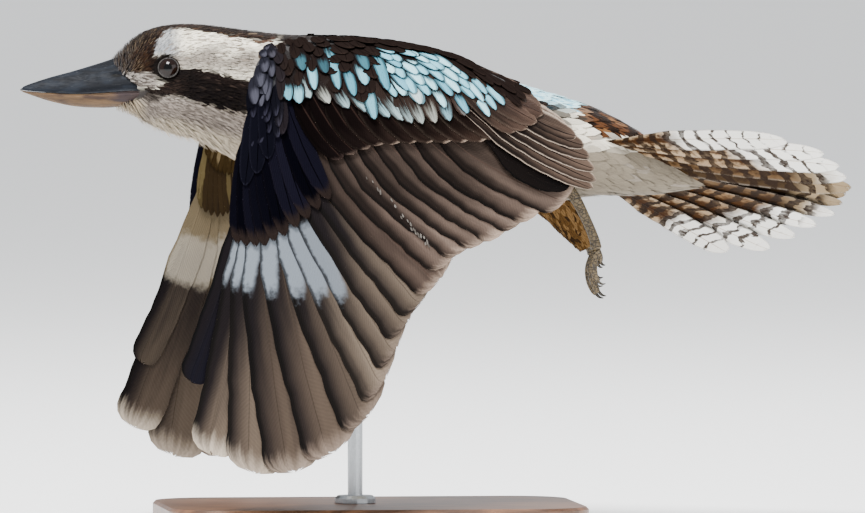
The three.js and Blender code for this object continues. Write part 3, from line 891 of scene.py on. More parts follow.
@dataclass(frozen=True)
class FeatherFinish(Finish):
    """Feathers whose colours stand in the piece's attributes."""

    vane: NodeTree
    barbs: float = 8.0
    slant: float = 0.2
    edge: float = 0.0
    depth: float = 0.15
    relief: float = 0.00012
    roughness: float = 0.6
    gloss: float = 0.03
    sheen: float = 0.0
    fray: float = 0.2
    bars: NodeTree | None = None
    white: str | None = None
    cast: NodeTree | None = None
    cast_share: float = 0.7
    strip: float = 1.0
    spot: float = 0.0
    under: str | None = None

    def inputs(self, graph: Graph) -> dict[str, object]:
        """Lay the shared patterns over the stored colours.

        Args:
            graph: the material's node tree.

        Returns:
            Values and links of the Principled surface, by socket.
        """
        where, lie = graph.place(), graph.uv("Vane")
        (tint, chance), (shaft, streak), (tip, start) = map(graph.stored, ("tint", "shaft", "tip"))
        if self.cast is not None:
            base, fade = graph.stored("base")
            tint = graph.group(self.cast, vane=lie, base=base, fade=fade, tint=tint, cast=self.cast_share,
                               strip=self.strip, chance=chance).colour
        vane = graph.group(
            self.vane, vane=lie, where=where, tint=tint, chance=chance, shaft=shaft, streak=streak, tip=tip,
            start=start, barbs=self.barbs, slant=self.slant, edge=self.edge, depth=self.depth, spot=self.spot,
            fray=self.fray,
        )
        colour = vane.colour
        if self.under is not None:
            near = graph.ramp(vane.along, 0.44, 0.52, 0.8, 0.0)
            colour = graph.mix(vane.under * near, colour, ink(self.under))
        if self.white is not None:
            colour = self.whitened(graph, vane, colour)
        if self.bars is not None:
            turn = graph.parts(graph.stored("patch")[0])[0]
            bars = graph.group(self.bars, side=vane.side, along=vane.along, chance=chance, turn=turn,
                               where=where, bars=12.5)
            colour = graph.mix(1.0, colour, bars.colour, "MULTIPLY")
        return {
            "Base Color": colour, "Roughness": self.roughness, "Specular IOR Level": self.gloss,
            "Sheen Weight": self.sheen, "Sheen Roughness": 0.4, "Alpha": vane.cover if self.fray else 1.0,
            "Normal": graph.bump(vane.relief, self.relief),
        }

    def whitened(self, graph: Graph, vane: SimpleNamespace, colour: Wire) -> Wire:
        """Lay the pale patch that an attribute bounds over a vane's colour.

        Args:
            graph: the material's node tree.
            vane: what the vane group puts out.
            colour: the vane's colour so far.

        Returns:
            The colour with its patch.
        """
        bounds, strength = graph.stored("patch")
        begin, end, reach = graph.parts(bounds)
        wander = (graph.noise(graph.place(), 320.0) - 0.5) * 0.06
        along = vane.along + wander
        mask = graph.ramp(along, begin, begin + 0.05) * (1.0 - graph.ramp(along, end - 0.05, end))
        share = graph.math("MAXIMUM", (along - begin) / (end - begin), 0.0)
        limit = graph.math("POWER", share, 2.0) * 0.4 + reach
        side = vane.side + wander * 5.0
        mask = mask * graph.ramp(side, limit, limit + 0.22) * graph.ramp(side, 0.76, 0.94, 1.0, 0.15)
        return graph.mix(mask * strength, colour, ink(self.white))


@dataclass(frozen=True)
class SkinFinish(Finish):
    """What shows between feathers: the same markings, darkened as painted shade between the feathers, and
    matt.
    """

    def inputs(self, graph: Graph) -> dict[str, object]:
        """Darken the stored colour in grains, as painted shade."""
        grain = graph.noise(graph.place(), 900.0)
        return {"Base Color": graph.shaded(graph.stored("tint")[0], grain * 0.4 + 0.72), "Roughness": 0.85,
                "Normal": graph.bump(grain, 0.0003)}


@dataclass(frozen=True)
class HornFinish(Finish):
    """Bill or claw: a base colour, a second one in patches, fine scratches and a soft gloss."""

    base: str
    other: str
    spread: float
    roughness: float
    nostril: tuple[float, float] | None = None
    gape: str | None = None

    def inputs(self, graph: Graph) -> dict[str, object]:
        """Lay patches, scratches, painted shade in the nostril and the gape's colour over the base.

        Args:
            graph: the material's node tree.

        Returns:
            Values and links of the Principled surface, by socket.
        """
        where = graph.place()
        x, _, z = graph.parts(where)
        clouds = graph.noise(graph.stretched(where, (60.0, 260.0, 260.0)), 1.0, 4.0)
        patches = graph.ramp(clouds, self.spread - 0.12, self.spread + 0.18)
        colour = graph.mix(patches, ink(self.base), ink(self.other))
        lines = graph.noise(graph.stretched(where, (90.0, 900.0, 1500.0)), 1.0)
        colour = graph.mix(graph.ramp(lines, 0.6, 0.75, 0.0, 0.14), colour, ink("#8A8A88"))
        # Painted shade: the nostril opening is near black.
        if self.nostril is not None:
            squares = [graph.math("POWER", (part - at * MM) * zoom, 2.0)
                       for part, at, zoom in zip((x, z), self.nostril, (340.0, 1250.0))]
            far = graph.math("SQRT", squares[0] + squares[1])
            colour = graph.mix(graph.ramp(far, 0.7, 1.2, 1.0, 0.0), colour, ink("#0B0A0A"))
        if self.gape is not None:
            back = graph.ramp(clouds * 0.012 + x, -0.138, -0.128)
            colour = graph.mix(back * graph.ramp(z, 0.2262, 0.2285) * 0.85, colour, ink(self.gape))
        rough = graph.ramp(lines, 0.35, 0.75, self.roughness - 0.08, self.roughness + 0.14)
        return {"Base Color": colour, "Specular IOR Level": 0.1, "Roughness": rough,
                "Normal": graph.bump(lines, 0.00008)}


@dataclass(frozen=True)
class EyeFinish(Finish):
    """Glassy eye: black pupil, dark brown iris with spokes, near black rim."""

    pupil: float = 2.2
    iris: float = 4.7

    def inputs(self, graph: Graph) -> dict[str, object]:
        """Ring the colours round the stored distance from the middle, in millimetres."""
        ring = graph.stored("iris")[0]
        far = graph.parts(ring)[0]
        spokes = graph.noise(graph.stretched(ring, (2.0, 40.0, 0.0)), 1.0)
        colour = graph.mix(spokes, ink("#080403"), ink("#1C100B"))
        colour = graph.mix(graph.ramp(far, self.iris - 0.5, self.iris + 0.3), colour, ink("#0A0605"))
        colour = graph.mix(graph.ramp(far, self.pupil - 0.15, self.pupil + 0.15), ink("#020202"), colour)
        return {"Base Color": colour, "Roughness": 0.12, "Specular IOR Level": 0.12, "Coat Weight": 0.25,
                "Coat Roughness": 0.03}


@dataclass(frozen=True)
class ScaleFinish(Finish):
    """Bare leg or eyelid: small scales or wrinkles."""

    base: str
    groove: str
    stretch: Spot

    def inputs(self, graph: Graph) -> dict[str, object]:
        """Cut grooves between cells."""
        where = graph.place()
        feeds = {"Vector": graph.stretched(where, self.stretch), "Scale": 1.0}
        plate = graph.ramp(graph.made("ShaderNodeTexVoronoi", feeds, feature="DISTANCE_TO_EDGE"), 0.0, 0.14)
        colour = graph.mix(plate, ink(self.groove), ink(self.base))
        clouds = graph.ramp(graph.noise(where, 300.0), 0.4, 0.8, 0.0, 0.5)
        colour = graph.mix(clouds, colour, ink(self.groove))
        return {"Base Color": colour, "Roughness": 0.55, "Normal": graph.bump(plate, 0.00025)}


@dataclass(frozen=True)
class WoodFinish(Finish):
    """Dark oiled wood with grain along X."""

    def inputs(self, graph: Graph) -> dict[str, object]:
        """Bend rings along the grain and add pores."""
        where = graph.place()
        rings = graph.math("SINE", graph.noise(graph.stretched(where, (6.0, 22.0, 22.0)), 1.0) * 60.0)
        pores = graph.noise(graph.stretched(where, (70.0, 1400.0, 1400.0)), 1.0, 2.0)
        colour = graph.mix(rings * 0.5 + 0.5, ink("#4A2F1E"), ink("#6E4A31"))
        colour = graph.mix(graph.ramp(pores, 0.55, 0.7, 0.0, 0.6), colour, ink("#2A1A10"))
        return {"Base Color": colour, "Roughness": 0.42, "Coat Weight": 0.25, "Coat Roughness": 0.3,
                "Normal": graph.bump(pores, 0.00005)}


@dataclass(frozen=True)
class SteelFinish(Finish):
    """Brushed steel."""

    def inputs(self, graph: Graph) -> dict[str, object]:
        """Vary the gloss in fine lines."""
        lines = graph.noise(graph.stretched(graph.place(), (500.0, 500.0, 9000.0)), 1.0, 2.0)
        rough = graph.ramp(lines, 0.3, 0.7, 0.26, 0.4)
        return {"Base Color": ink("#A4A7AA"), "Metallic": 1.0, "Roughness": rough}


@dataclass(frozen=True)
class PlainFinish(Finish):
    """One even colour with a glow."""

    colour: str
    glow: float

    def inputs(self, graph: Graph) -> dict[str, object]:
        """The same colour for both."""
        return {"Base Color": ink(self.colour), "Roughness": 0.9, "Emission Color": ink(self.colour),
                "Emission Strength": self.glow}


# Markings


@dataclass
class Paint:
    """Colours of a set of feathers: base with a chance value, shaft with its width, tip with its start."""

    tint: Array
    chance: Array
    shaft: Array
    streak: Array
    tip: Array
    start: Array

    @classmethod
    def plain(cls, count: int, chance: Array, colour: str) -> "Paint":
        """One colour all over."""
        base = np.tile(ink(colour), (count, 1))
        return cls(base, chance, base, np.full(count, 0.12), base, np.full(count, 1.3))

    def put(self, share: Array, tint: str, shaft: str | None = None, tip: str | None = None,
            streak: float | None = None, start: float | None = None) -> None:
        """Lay other colours over the feathers, by a share from 0 to 1 for each.

        Args:
            share: how much of the new colours each feather takes, from 0 to 1.
            tint: the base colour.
            shaft: the shaft's colour, the base's if left out.
            tip: the tip's colour, likewise.
            streak: the shaft's width.
            start: where the tip begins.
        """
        share = np.clip(share, 0.0, 1.0)
        self.tint = blend(self.tint, tint, share)
        self.shaft = blend(self.shaft, shaft or tint, share)
        self.tip = blend(self.tip, tip or tint, share)
        if streak is not None:
            self.streak = self.streak * (1 - share) + streak * share
        if start is not None:
            self.start = np.where(share > 0.5, start, self.start)

    def tables(self) -> dict[str, Array]:
        """The colours of a tract, by name."""
        pairs = {
            "tint": (self.tint, self.chance), "shaft": (self.shaft, self.streak),
            "tip": (self.tip, self.start),
        }
        return {name: dyed(len(self.tint), *pair) for name, pair in pairs.items()}


@dataclass(frozen=True)
class BodyMarks:
    """Where the colours of head, neck and trunk lie in the side view."""

    cap: Line = (
        (-145, 243.2), (-120, 243.2), (-118.6, 250), (-117.8, 255), (-116, 260), (-111.7, 264.8),
        (-107.5, 266.8), (-99.9, 266.6), (-86, 264.6), (-75, 262.5), (-64.5, 260.4), (-56, 260.3),
        (-48, 262), (0, 240), (200, 170),
    )
    stripe_top: Line = (
        (-127, 232.3), (-121, 234.4), (-116, 236.0), (-112, 238.7), (-107, 243.5), (-103.2, 245),
        (-96.7, 245.8), (-86, 244), (-80.6, 241.9), (-72, 239.8), (-65.6, 238.7), (-50, 238),
    )
    stripe_low: Line = (
        (-127, 229.4), (-121, 230.4), (-116, 231.4), (-111.7, 231.3), (-104.5, 230.6), (-98.9, 228.6),
        (-92, 226.4), (-86, 224.9), (-76, 222.4), (-69.9, 221.5), (-60, 221), (-50, 224),
    )
    eye: tuple[float, float] = (-110.2, 246.0)
    soft: float = 0.8

    def line(self, table: Line, x: Array) -> Array:
        """Read a border at x."""
        return np.interp(x, *np.array(table).T)

    def paint(self, points: Array, chance: Array, dice: Array) -> Paint:
        """Colour the feathers of head, neck and trunk.

        Args:
            points: where each feather shows, in millimetres.
            chance: a random value for each.
            dice: a second random value for each.

        Returns:
            Their colours.
        """
        x, y, z = points.T
        jitter = (dice - 0.5) * 2.4
        paint = Paint.plain(len(points), chance, "#DDD5C3")
        head = 1 - smooth(-62, -50, x)
        self.cream(paint, x, y, z, chance, dice, head)
        self.mantle(paint, x, y, z + jitter, chance, dice)
        self.cheek(paint, x, z + jitter, dice, head)
        self.crown(paint, x, z + jitter * 0.6, chance, dice)
        self.lores(paint, x, z, chance)
        ring = np.hypot(x - self.eye[0], (z - self.eye[1]) * 1.05)
        low_front = smooth(2.0, -4.0, z - self.eye[1]) * smooth(3.0, -3.0, x - self.eye[0])
        paint.put((1 - smooth(7.0, 8.7 + 2.6 * low_front, ring)) * head, "#0E0A08", shaft="#080605")
        return paint

    def cream(self, paint: Paint, x: Array, y: Array, z: Array, chance: Array, dice: Array,
              head: Array) -> None:
        """White brow, buff chin, painted shade under the neck and the tail, and soft grey patches on the
        white.

        Args:
            paint: the colours, changed in place.
            x, y, z: where each feather shows, in millimetres.
            chance, dice: random values from 0 to 1 for each.
            head: 1 on the head, falling to 0 at the neck.
        """
        paint.put(0.5 * smooth(0.2, 0.9, ripple(x, z + y, 17)), "#CFC7B6")
        paint.put(smooth(240, 250, z) * head, "#8A8278", shaft="#766E64")
        paint.put(smooth(250, 261.5, z + 4 * ripple(x, z, 21)) * head, "#F3EBD7", shaft="#EAE1CC")
        paint.put((dice > 0.7) * (chance < 0.55) * smooth(240, 246, z) * head * 0.7, "#958C80",
                  shaft="#6B6258")
        paint.put(smooth(-100, -110, x) * smooth(251, 255, z) * head * 0.8, "#80868F", shaft="#6F757E")
        paint.put((dice > 0.9) * smooth(244, 252, z) * smooth(-119, -112, x) * head * 0.8, "#7A6E62")
        paint.put((dice < 0.12) * smooth(247, 243, z) * smooth(238, 241, z) * head * 0.8, "#8A8076")
        paint.put(smooth(-116, -126, x) * smooth(231, 224, z), "#B9A382", shaft="#A9946F")
        # Painted shade under the neck, below the head.
        paint.put(smooth(-40, -66, x) * smooth(232, 222, z) * 0.85, "#A89A85")
        # Painted shade under the tail: the pale feathers there turn grey-brown.
        paint.put(smooth(70, 110, x) * smooth(206, 200, z), "#766D5F", shaft="#766D5F")
        paint.put((dice > 0.9) * smooth(118, 130, x) * 0.6, "#8C8378")

    def mantle(self, paint: Paint, x: Array, y: Array, z: Array, chance: Array, dice: Array) -> None:
        """Brown back, pale blue rump and barred tail coverts.

        Args:
            paint: the colours, changed in place.
            x, y, z: where each feather shows, in millimetres.
            chance, dice: random values from 0 to 1 for each.
        """
        behind = smooth(-56, -48, x)
        border = np.interp(x, [-50, -20, 40, 80, 118], [247, 243, 232, 219, 212])
        above = smooth(-1.5, 1.5, z - border) * behind
        paint.put(above * smooth(112, 95, x), "#130D0B", shaft="#0B0706", tip="#241B16", start=0.8)
        blue_line = np.interp(x, [60, 70, 100, 118], [236, 233, 224.5, 219])
        rump = smooth(56, 64, x) * smooth(122, 108, x) * smooth(-1.2, 1.2, z - blue_line)
        paint.put(rump, "#7FB9CB", shaft="#5D97AD", tip="#AFD6DE", start=0.7)
        line = np.interp(x, [108, 113, 118, 128, 152, 180], [224, 214, 210, 208.5, 206, 192])
        warm = smooth(106, 114, x) * smooth(-1.2, 1.2, z - line)
        middle = smooth(138, 146, x) * (1 - smooth(4, 6.5, np.abs(y))) * smooth(-9, -7, z - line)
        warm = np.maximum(warm, middle)
        paint.put(warm, "#4C2F1B", shaft="#24160E", tip="#1C120C", streak=0.3, start=0.7)
        paint.put(warm * (chance < 0.42), "#1F140D", shaft="#150D09", tip="#4C2F1B", start=0.75)
        paint.put(warm * (dice < 0.1), "#6B4A2E", shaft="#24160E")

    def cheek(self, paint: Paint, x: Array, z: Array, dice: Array, head: Array) -> None:
        """Dark ear stripe with a mottled band under it.

        Args:
            paint: the colours, changed in place.
            x, z: where each feather shows, in millimetres.
            dice: random values from 0 to 1 for each.
            head: 1 on the head, falling to 0 at the neck.
        """
        top, low = self.line(self.stripe_top, x), self.line(self.stripe_low, x)
        front = smooth(-128.5, -126, x) * head
        under = smooth(-17, -9, z - low) * smooth(1, -1, z - low) * smooth(-126, -120, x) * head
        paint.put(under * 0.9, "#857B73", shaft="#746A63")
        paint.put(under * (dice < 0.4) * 0.8, "#6A615A", shaft="#4E4640")
        inside = smooth(-self.soft, self.soft, z - low) * smooth(-self.soft, self.soft, top - z) * front
        share = np.clip((z - low) / np.maximum(top - low, 1.0), 0, 1)
        paint.put(inside, "#0D0909", shaft="#070505", tip="#15100E", start=0.8)
        paint.put(inside * smooth(-98, -108, x) * np.where(dice < 0.6, 0.75, 0.2), "#2C221D", shaft="#15100E")
        paint.put(inside * smooth(0.55, 1.0, share) * smooth(-100, -92, x) * 0.6, "#231A17", shaft="#120D0B")
        paint.put(inside * (dice > 0.93) * smooth(-98, -90, x) * 0.4, "#3A2F29")
        mark = smooth(-128, -125, x) * smooth(-113, -117, x) * smooth(227, 229, z) * smooth(236, 234, z)
        paint.put(mark * 0.9, "#1D1613", shaft="#0F0B09")

    def crown(self, paint: Paint, x: Array, z: Array, chance: Array, dice: Array) -> None:
        """Streaked brown cap, rusty at its lower border and towards the bill.

        Args:
            paint: the colours, changed in place.
            x, z: where each feather shows, in millimetres.
            chance, dice: random values from 0 to 1 for each.
        """
        above = z - self.line(self.cap, x)
        cap = smooth(-self.soft, self.soft, above) * smooth(-47, -54, x)
        paint.put(cap, "#150E0B", shaft="#0A0605", tip="#221812", start=0.8)
        paint.put(cap * (dice < 0.2), "#2B1E17", shaft="#120C09")
        paint.put(cap * (chance < np.where(x < -122, 0.624, 0.24)), "#1A120D", shaft="#6B5A45", streak=0.4)
        low = cap * smooth(5, 0, above) * smooth(-118, -112, x)
        paint.put(low * (dice > 0.8) * 0.6, "#4A2D1D")
        rust = cap * smooth(258, 252, z) * smooth(-117, -121, x)
        paint.put(rust * np.where(dice < 0.5, 0.7, 0.2), "#2E1C0F", shaft="#150D08")

    def lores(self, paint: Paint, x: Array, z: Array, chance: Array) -> None:
        """Grey lores over the gape, and the dark corner before the eye.

        Args:
            paint: the colours, changed in place.
            x, z: where each feather shows, in millimetres.
            chance: random values from 0 to 1 for each.
        """
        corner = smooth(-122, -119, x) * smooth(-111.5, -113.5, x)
        corner = corner * smooth(242, 244, z) * smooth(253, 251, z)
        paint.put(corner, "#1C120C", shaft="#0F0906")
        patch = smooth(-137, -133, x) * smooth(-115, -118, x)
        patch = patch * smooth(234.5, 237, z) * smooth(244.2, 242.6, z)
        paint.put(patch * 0.9, "#877F79", shaft="#655D57")
        paint.put(patch * (chance < 0.45), "#5C544E", shaft="#3E3833")


# Head, neck and trunk


@dataclass(frozen=True)
class Zone:
    """A stretch of the body with feathers of one size."""

    name: str
    start: float
    end: float
    length: float
    width: float
    step: float
    gap: float
    stamp: Stamps
    rise: float = 0.35


@dataclass
class Trunk:
    """Skin and coat of head, neck, trunk and tail coverts."""

    surface: TrunkSurface
    marks: BodyMarks
    vane: NodeTree
    start: float = -142.0
    end: float = 181.0
    inset: float = 1.6
    gape: Line = (
        (224.5, -143), (225.6, -141), (226.6, -129), (228, -126), (230, -124), (233.5, -120.5), (235, -124.5),
        (237.7, -130), (241, -133.5), (243, -137), (247, -139.5), (256, -141), (270, -142),
    )
    zones: tuple[Zone, ...] = (
        Zone("face", -141.0, -100.0, 5.0, 1.35, 1.2, 0.92, Stamps.TUFT, 0.25),
        Zone("head", -100.0, -70.0, 7.0, 1.7, 1.6, 1.15, Stamps.TUFT, 0.3),
        Zone("neck", -70.0, -40.0, 11.0, 3.0, 2.9, 2.0, Stamps.BODY, 0.5),
        Zone("breast", -40.0, 20.0, 15.0, 4.4, 4.0, 2.8, Stamps.BODY, 0.6),
        Zone("back", 20.0, 104.0, 17.0, 5.0, 4.2, 3.0, Stamps.BODY, 0.7),
        Zone("vent", 104.0, 168.0, 19.0, 6.0, 4.4, 3.2, Stamps.BODY, 0.6),
    )

    def build(self) -> None:
        """Make the skin and the coat pieces."""
        finish = SkinFinish("body_skin").make()
        skin = sheet_piece("body_skin", 150, 250, self.skin, finish, colour=self.skin_colour)
        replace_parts(skin, "head", "neck", "torso")
        finish = FeatherFinish("down", self.vane, barbs=5.0, slant=0.35, depth=0.12, relief=0.00006,
                               roughness=0.8, sheen=0.15, fray=0.0).make()
        for index, zone in enumerate(self.zones):
            tract = self.tract(zone, np.random.default_rng(SEED + index))
            feather_piece(f"coat_{zone.name}", zone.stamp, self.surface, tract, finish)

    def skin(self, around: Array, along: Array) -> Array:
        """Place of the skin, drawn in towards the bill so that it hides inside it."""
        x = self.start + 1.5 + (self.end - self.start - 3.0) * along
        inset = self.inset * (1 - 0.25 * smooth(150, 181, x)) + 3.0 * smooth(-118, -134, x)
        return self.surface.point(x, 2 * math.pi * around, -inset)

    def skin_colour(self, points: Array) -> Array:
        """The markings under the coat."""
        half = np.full(len(points), 0.5)
        return self.marks.paint(points, half, half).tint

    def ring(self, x: float, gap: float, offset: float) -> Array:
        """Angles of evenly spaced places round the body at x.

        Args:
            x: place along the body.
            gap: distance between places.
            offset: share of a gap to start at.

        Returns:
            The angles.
        """
        fine = np.linspace(0, 2 * math.pi, 361)
        steps = np.diff(self.surface.point(np.full(361, x), fine, 0.0), axis=0)
        run = np.append(0, np.cumsum(np.linalg.norm(steps, axis=1)))
        count = max(6, int(run[-1] / gap))
        return np.interp((np.arange(count) + offset) / count * run[-1], run, fine)

    def tract(self, zone: Zone, rng: Random) -> Tract:
        """Spread the feathers of a zone.

        Args:
            zone: the stretch of the body.
            rng: the source of random numbers.

        Returns:
            The coloured feathers.
        """
        places = []
        for index, x in enumerate(np.arange(zone.start, zone.end, zone.step)):
            extras = max(1, round(float(self.surface.scale(np.array([x]), np.array([1.2]))[0, 0]) / 1.6))
            for extra in range(extras):
                at = x + extra * zone.step / extras
                places.append(columns(at, self.ring(at, zone.gap, 0.5 * (index % 2) + 0.25 * (extra % 2))))
        roots = np.concatenate(places)
        roots[:, 0] += rng.normal(0, zone.step * 0.18, len(roots))
        scale = self.surface.scale(roots[:, 0], roots[:, 1])
        roots[:, 1] += rng.normal(0, zone.gap * 0.2, len(roots)) / scale[:, 1]
        spots = self.surface.point(*roots.T, 0.0)
        keep = self.kept(spots)
        roots, scale, spots = roots[keep], scale[keep], spots[keep]
        count = len(roots)
        turn = rng.normal(0, 0.1, count) + self.sweep(spots)
        heading = columns(np.cos(turn), np.sin(turn))
        length = zone.length * rng.uniform(0.85, 1.15, count) * (1 - 0.35 * smooth(-124, -140, spots[:, 0]))
        scale = np.maximum(scale, 0.3)
        seen = roots + heading * (length * 0.65)[:, None] / scale
        paint = self.marks.paint(self.surface.point(*seen.T, 0.0), rng.random(count), rng.random(count))
        return Tract(
            roots=roots, heading=heading, length=length, width=zone.width * rng.uniform(0.85, 1.15, count),
            low=-1.4 - 2.0 * smooth(-118, -134, spots[:, 0]),
            high=rng.uniform(-0.3, zone.rise, count) - 0.2 + self.chin(spots, rng.random(count)), scale=scale,
            edge=rng.normal(0, 0.05, count), thick=0.16, **paint.tables(),
            home=columns(
                (roots[:, 1] / (2 * math.pi)) % 1.0, (roots[:, 0] - self.start) / (self.end - self.start),
            ),
        )

    def sweep(self, spots: Array) -> Array:
        """Turn of the lie away from straight back: upwards on the sides of the forehead."""
        x, y, z = spots.T
        rise = smooth(240, 248, z) * smooth(-102, -116, x) * smooth(1.5, 8, np.abs(y))
        return 0.5 * rise * np.sign(y)

    def chin(self, spots: Array, dice: Array) -> Array:
        """How far feathers stand out to meet the keel of the bill, and in loose tufts along the throat."""
        x, _, z = spots.T
        meet = smooth(-126, -138, x) * smooth(231, 226, z)
        throat = smooth(-132, -124, x) * smooth(-80, -92, x) * smooth(224, 219, z)
        return 1.6 * meet + 2.2 * throat * (dice < 0.1)

    def kept(self, spots: Array) -> Array:
        """Which places carry a feather: all but those in the bill or on the eyes."""
        x, y, z = spots.T
        eye = np.hypot(x - self.marks.eye[0], z - self.marks.eye[1])
        return (x > np.interp(z, *np.array(self.gape).T)) & ((eye > 5.6) | (np.abs(y) < 12))


# Bill


@dataclass
class Bill:
    """Both mandibles, hooked over at the tip, with nostrils."""

    stations: tuple[tuple[float, float, float, float, float], ...] = (
        (-187, 234.8, 233.9, 233.2, 0.8), (-183, 236.6, 233.2, 231.7, 2.2), (-172, 240.2, 232.4, 228, 5.2),
        (-158, 244, 231.8, 225, 8.2), (-144, 248.2, 232.4, 224.2, 11.4), (-132, 252, 233.3, 224.6, 14.6),
        (-122, 254, 233.6, 226.5, 16.4),
    )
    nostril: tuple[float, float] = (-136.5, 241.6)
    seam: float = 0.16
    arched: float = 0.86

    def half_section(self, around: Array, along: Array, upper: bool) -> Array:
        """Point of a mandible: over its arch, then back along its flat face.

        Args:
            around: share of the way round the section.
            along: share of the way from tip to gape.
            upper: whether it is the upper mandible.

        Returns:
            The points, in millimetres.
        """
        places, *lines = np.array(self.stations).T
        x = places[0] + (places[-1] - places[0]) * along
        ridge, edge, keel, half = (through(places, line, x) for line in lines)
        flat = around > self.arched
        turn = np.clip(around / self.arched, 0, 1) * math.pi
        arch = np.sin(turn)
        back = np.clip((around - self.arched) / (1 - self.arched), 0, 1)
        side = np.where(flat, -half + 2 * half * back, half * np.cos(turn) * (1 - 0.25 * arch))
        lip = np.exp(-(arch / 0.1) ** 2) * ~flat
        side = side * (1 - 0.07 * lip)
        seam = self.seam if upper else -self.seam
        limit = ridge if upper else keel + (edge - keel) * 0.08 * smooth(-143, -122, x)
        arch = np.where(flat, 0.0, arch ** (0.94 if upper else 0.9))
        z = edge + seam + (limit - edge - seam) * arch
        if upper:
            dent = np.exp(-((x - self.nostril[0]) / 3.2) ** 2 - ((z - self.nostril[1]) / 0.95) ** 2)
            side = side - np.sign(side) * 1.3 * dent
            z = z + 0.5 * np.exp(-((x + 139) / 9) ** 2) * np.exp(-((arch - 0.55) / 0.2) ** 2)
        shrink = smooth(0.0, 0.03, along)
        side, z = side * (0.35 + 0.65 * shrink), edge + (z - edge) * (0.4 + 0.6 * shrink)
        return columns(x, side, z)

    def build(self) -> None:
        """Make the two mandibles."""
        dark = HornFinish("bill_dark", "#0B0D12", "#171B22", 0.5, 0.6, nostril=self.nostril).make()
        pale = HornFinish("bill_pale", "#624D38", "#3D3029", 0.5, 0.56, gape="#332C30").make()
        upper = sheet_piece("bill_top", 72, 110, partial(self.half_section, upper=True), dark)
        lower = sheet_piece("bill_bottom", 72, 110, partial(self.half_section, upper=False), pale)
        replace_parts(upper, "bill_upper")
        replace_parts(lower, "bill_lower")


# Eyes


@dataclass
class Eye:
    """An eyeball in its lid ring."""

    side: Side
    trunk: TrunkSurface
    x: float = -110.2
    z: float = 246.0
    radius: float = 6.6
    sunk: float = 4.2

    def frame(self) -> tuple[Vector, Matrix]:
        """The eyeball's centre and a turn that points Z out of the head."""
        wide = self.trunk.half_at
        slope_x = wide(self.x + 0.5, self.z) - wide(self.x - 0.5, self.z)
        slope_z = wide(self.x, self.z + 0.5) - wide(self.x, self.z - 0.5)
        out = Vector((-slope_x, self.side.value, -slope_z)).normalized()
        spot = Vector((self.x, self.side.value * wide(self.x, self.z), self.z))
        return spot - out * self.sunk, out.to_track_quat("Z", "Y").to_matrix()

    def ball(self, finish: Material) -> None:
        """The eyeball, with its distance from the axis kept for the iris.

        Args:
            finish: the material.
        """
        centre, turn = self.frame()
        shape = bmesh.new()
        unwrap = shape.loops.layers.uv.new("OFBake")
        bmesh.ops.create_uvsphere(shape, u_segments=64, v_segments=48, radius=self.radius, calc_uvs=True)
        flat = [vert.co.copy() for vert in shape.verts]
        shape.verts.index_update()
        for part in shape.faces:
            for loop in part.loops:
                spot = flat[loop.vert.index]
                loop[unwrap].uv = (spot.x / 40 + 0.25 + (0.5 if spot.z < 0 else 0), spot.y / 40 + 0.5)
        for vert in shape.verts:
            vert.co = (centre + turn @ vert.co) * MM
        name = f"eyeball_{self.side.word}"
        mesh = bpy.data.meshes.new(name)
        shape.to_mesh(mesh)
        shape.free()
        x, y, z = np.array(flat).T
        add_colours(mesh, "iris", columns(np.where(z > 0, np.hypot(x, y), 9.0), np.arctan2(y, x), 0.0, 1.0))
        piece = added(name, mesh, finish, 180)
        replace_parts(piece, f"eye_{self.side.word}")

    def lid(self, finish: Material) -> None:
        """The ring of bare skin round the eye, a little longer than high.

        Args:
            finish: the material.
        """
        centre, turn = self.frame()

        def place(around: Array, along: Array) -> Array:
            """Point of the ring."""
            a, b = around * 2 * math.pi, along * 2 * math.pi
            tube = 0.4 + 0.05 * np.sin(a * 23) * np.maximum(0, np.cos(b))
            out = 5.3 + tube * np.cos(b)
            local = columns(out * np.cos(a), out * 0.95 * np.sin(a), 4.0 + 1.1 * tube * np.sin(b))
            return np.array(centre) + local @ np.array(turn).T

        sheet_piece(f"eyelid_{self.side.word}", 96, 16, place, finish, ends=False)

    def build(self, eye: Material, lid: Material) -> None:
        """Make the eyeball and its lid."""
        self.ball(eye)
        self.lid(lid)


# Wings


NO_TIP = 1.3


def fade_in(far: Array) -> Array:
    """How far feathers rise: less where they start at the wing's upper line."""
    return 0.35 + 0.65 * smooth(0, 14, far)


@dataclass(frozen=True)
class FeatherRow:
    """A row of wing feathers from the outermost inwards."""

    count: int
    width: float
    low: float
    high: float
    lift: float
    bow: float
    roots: Line
    tips: Line
    stamp: Stamps = Stamps.COVERT


INNER_PRIMARY_TIPS = ((-33, 46), (-14, 65), (-5, 84), (2, 101), (9, 114), (17, 125))
PRIMARY_TIPS = ((-107.5, 82), (-98, 44), (-75, 34), (-54, 35)) + INNER_PRIMARY_TIPS
FAR_PRIMARY_TIPS = ((-111, 83), (-115, 47), (-92, 33), (-64, 33)) + INNER_PRIMARY_TIPS


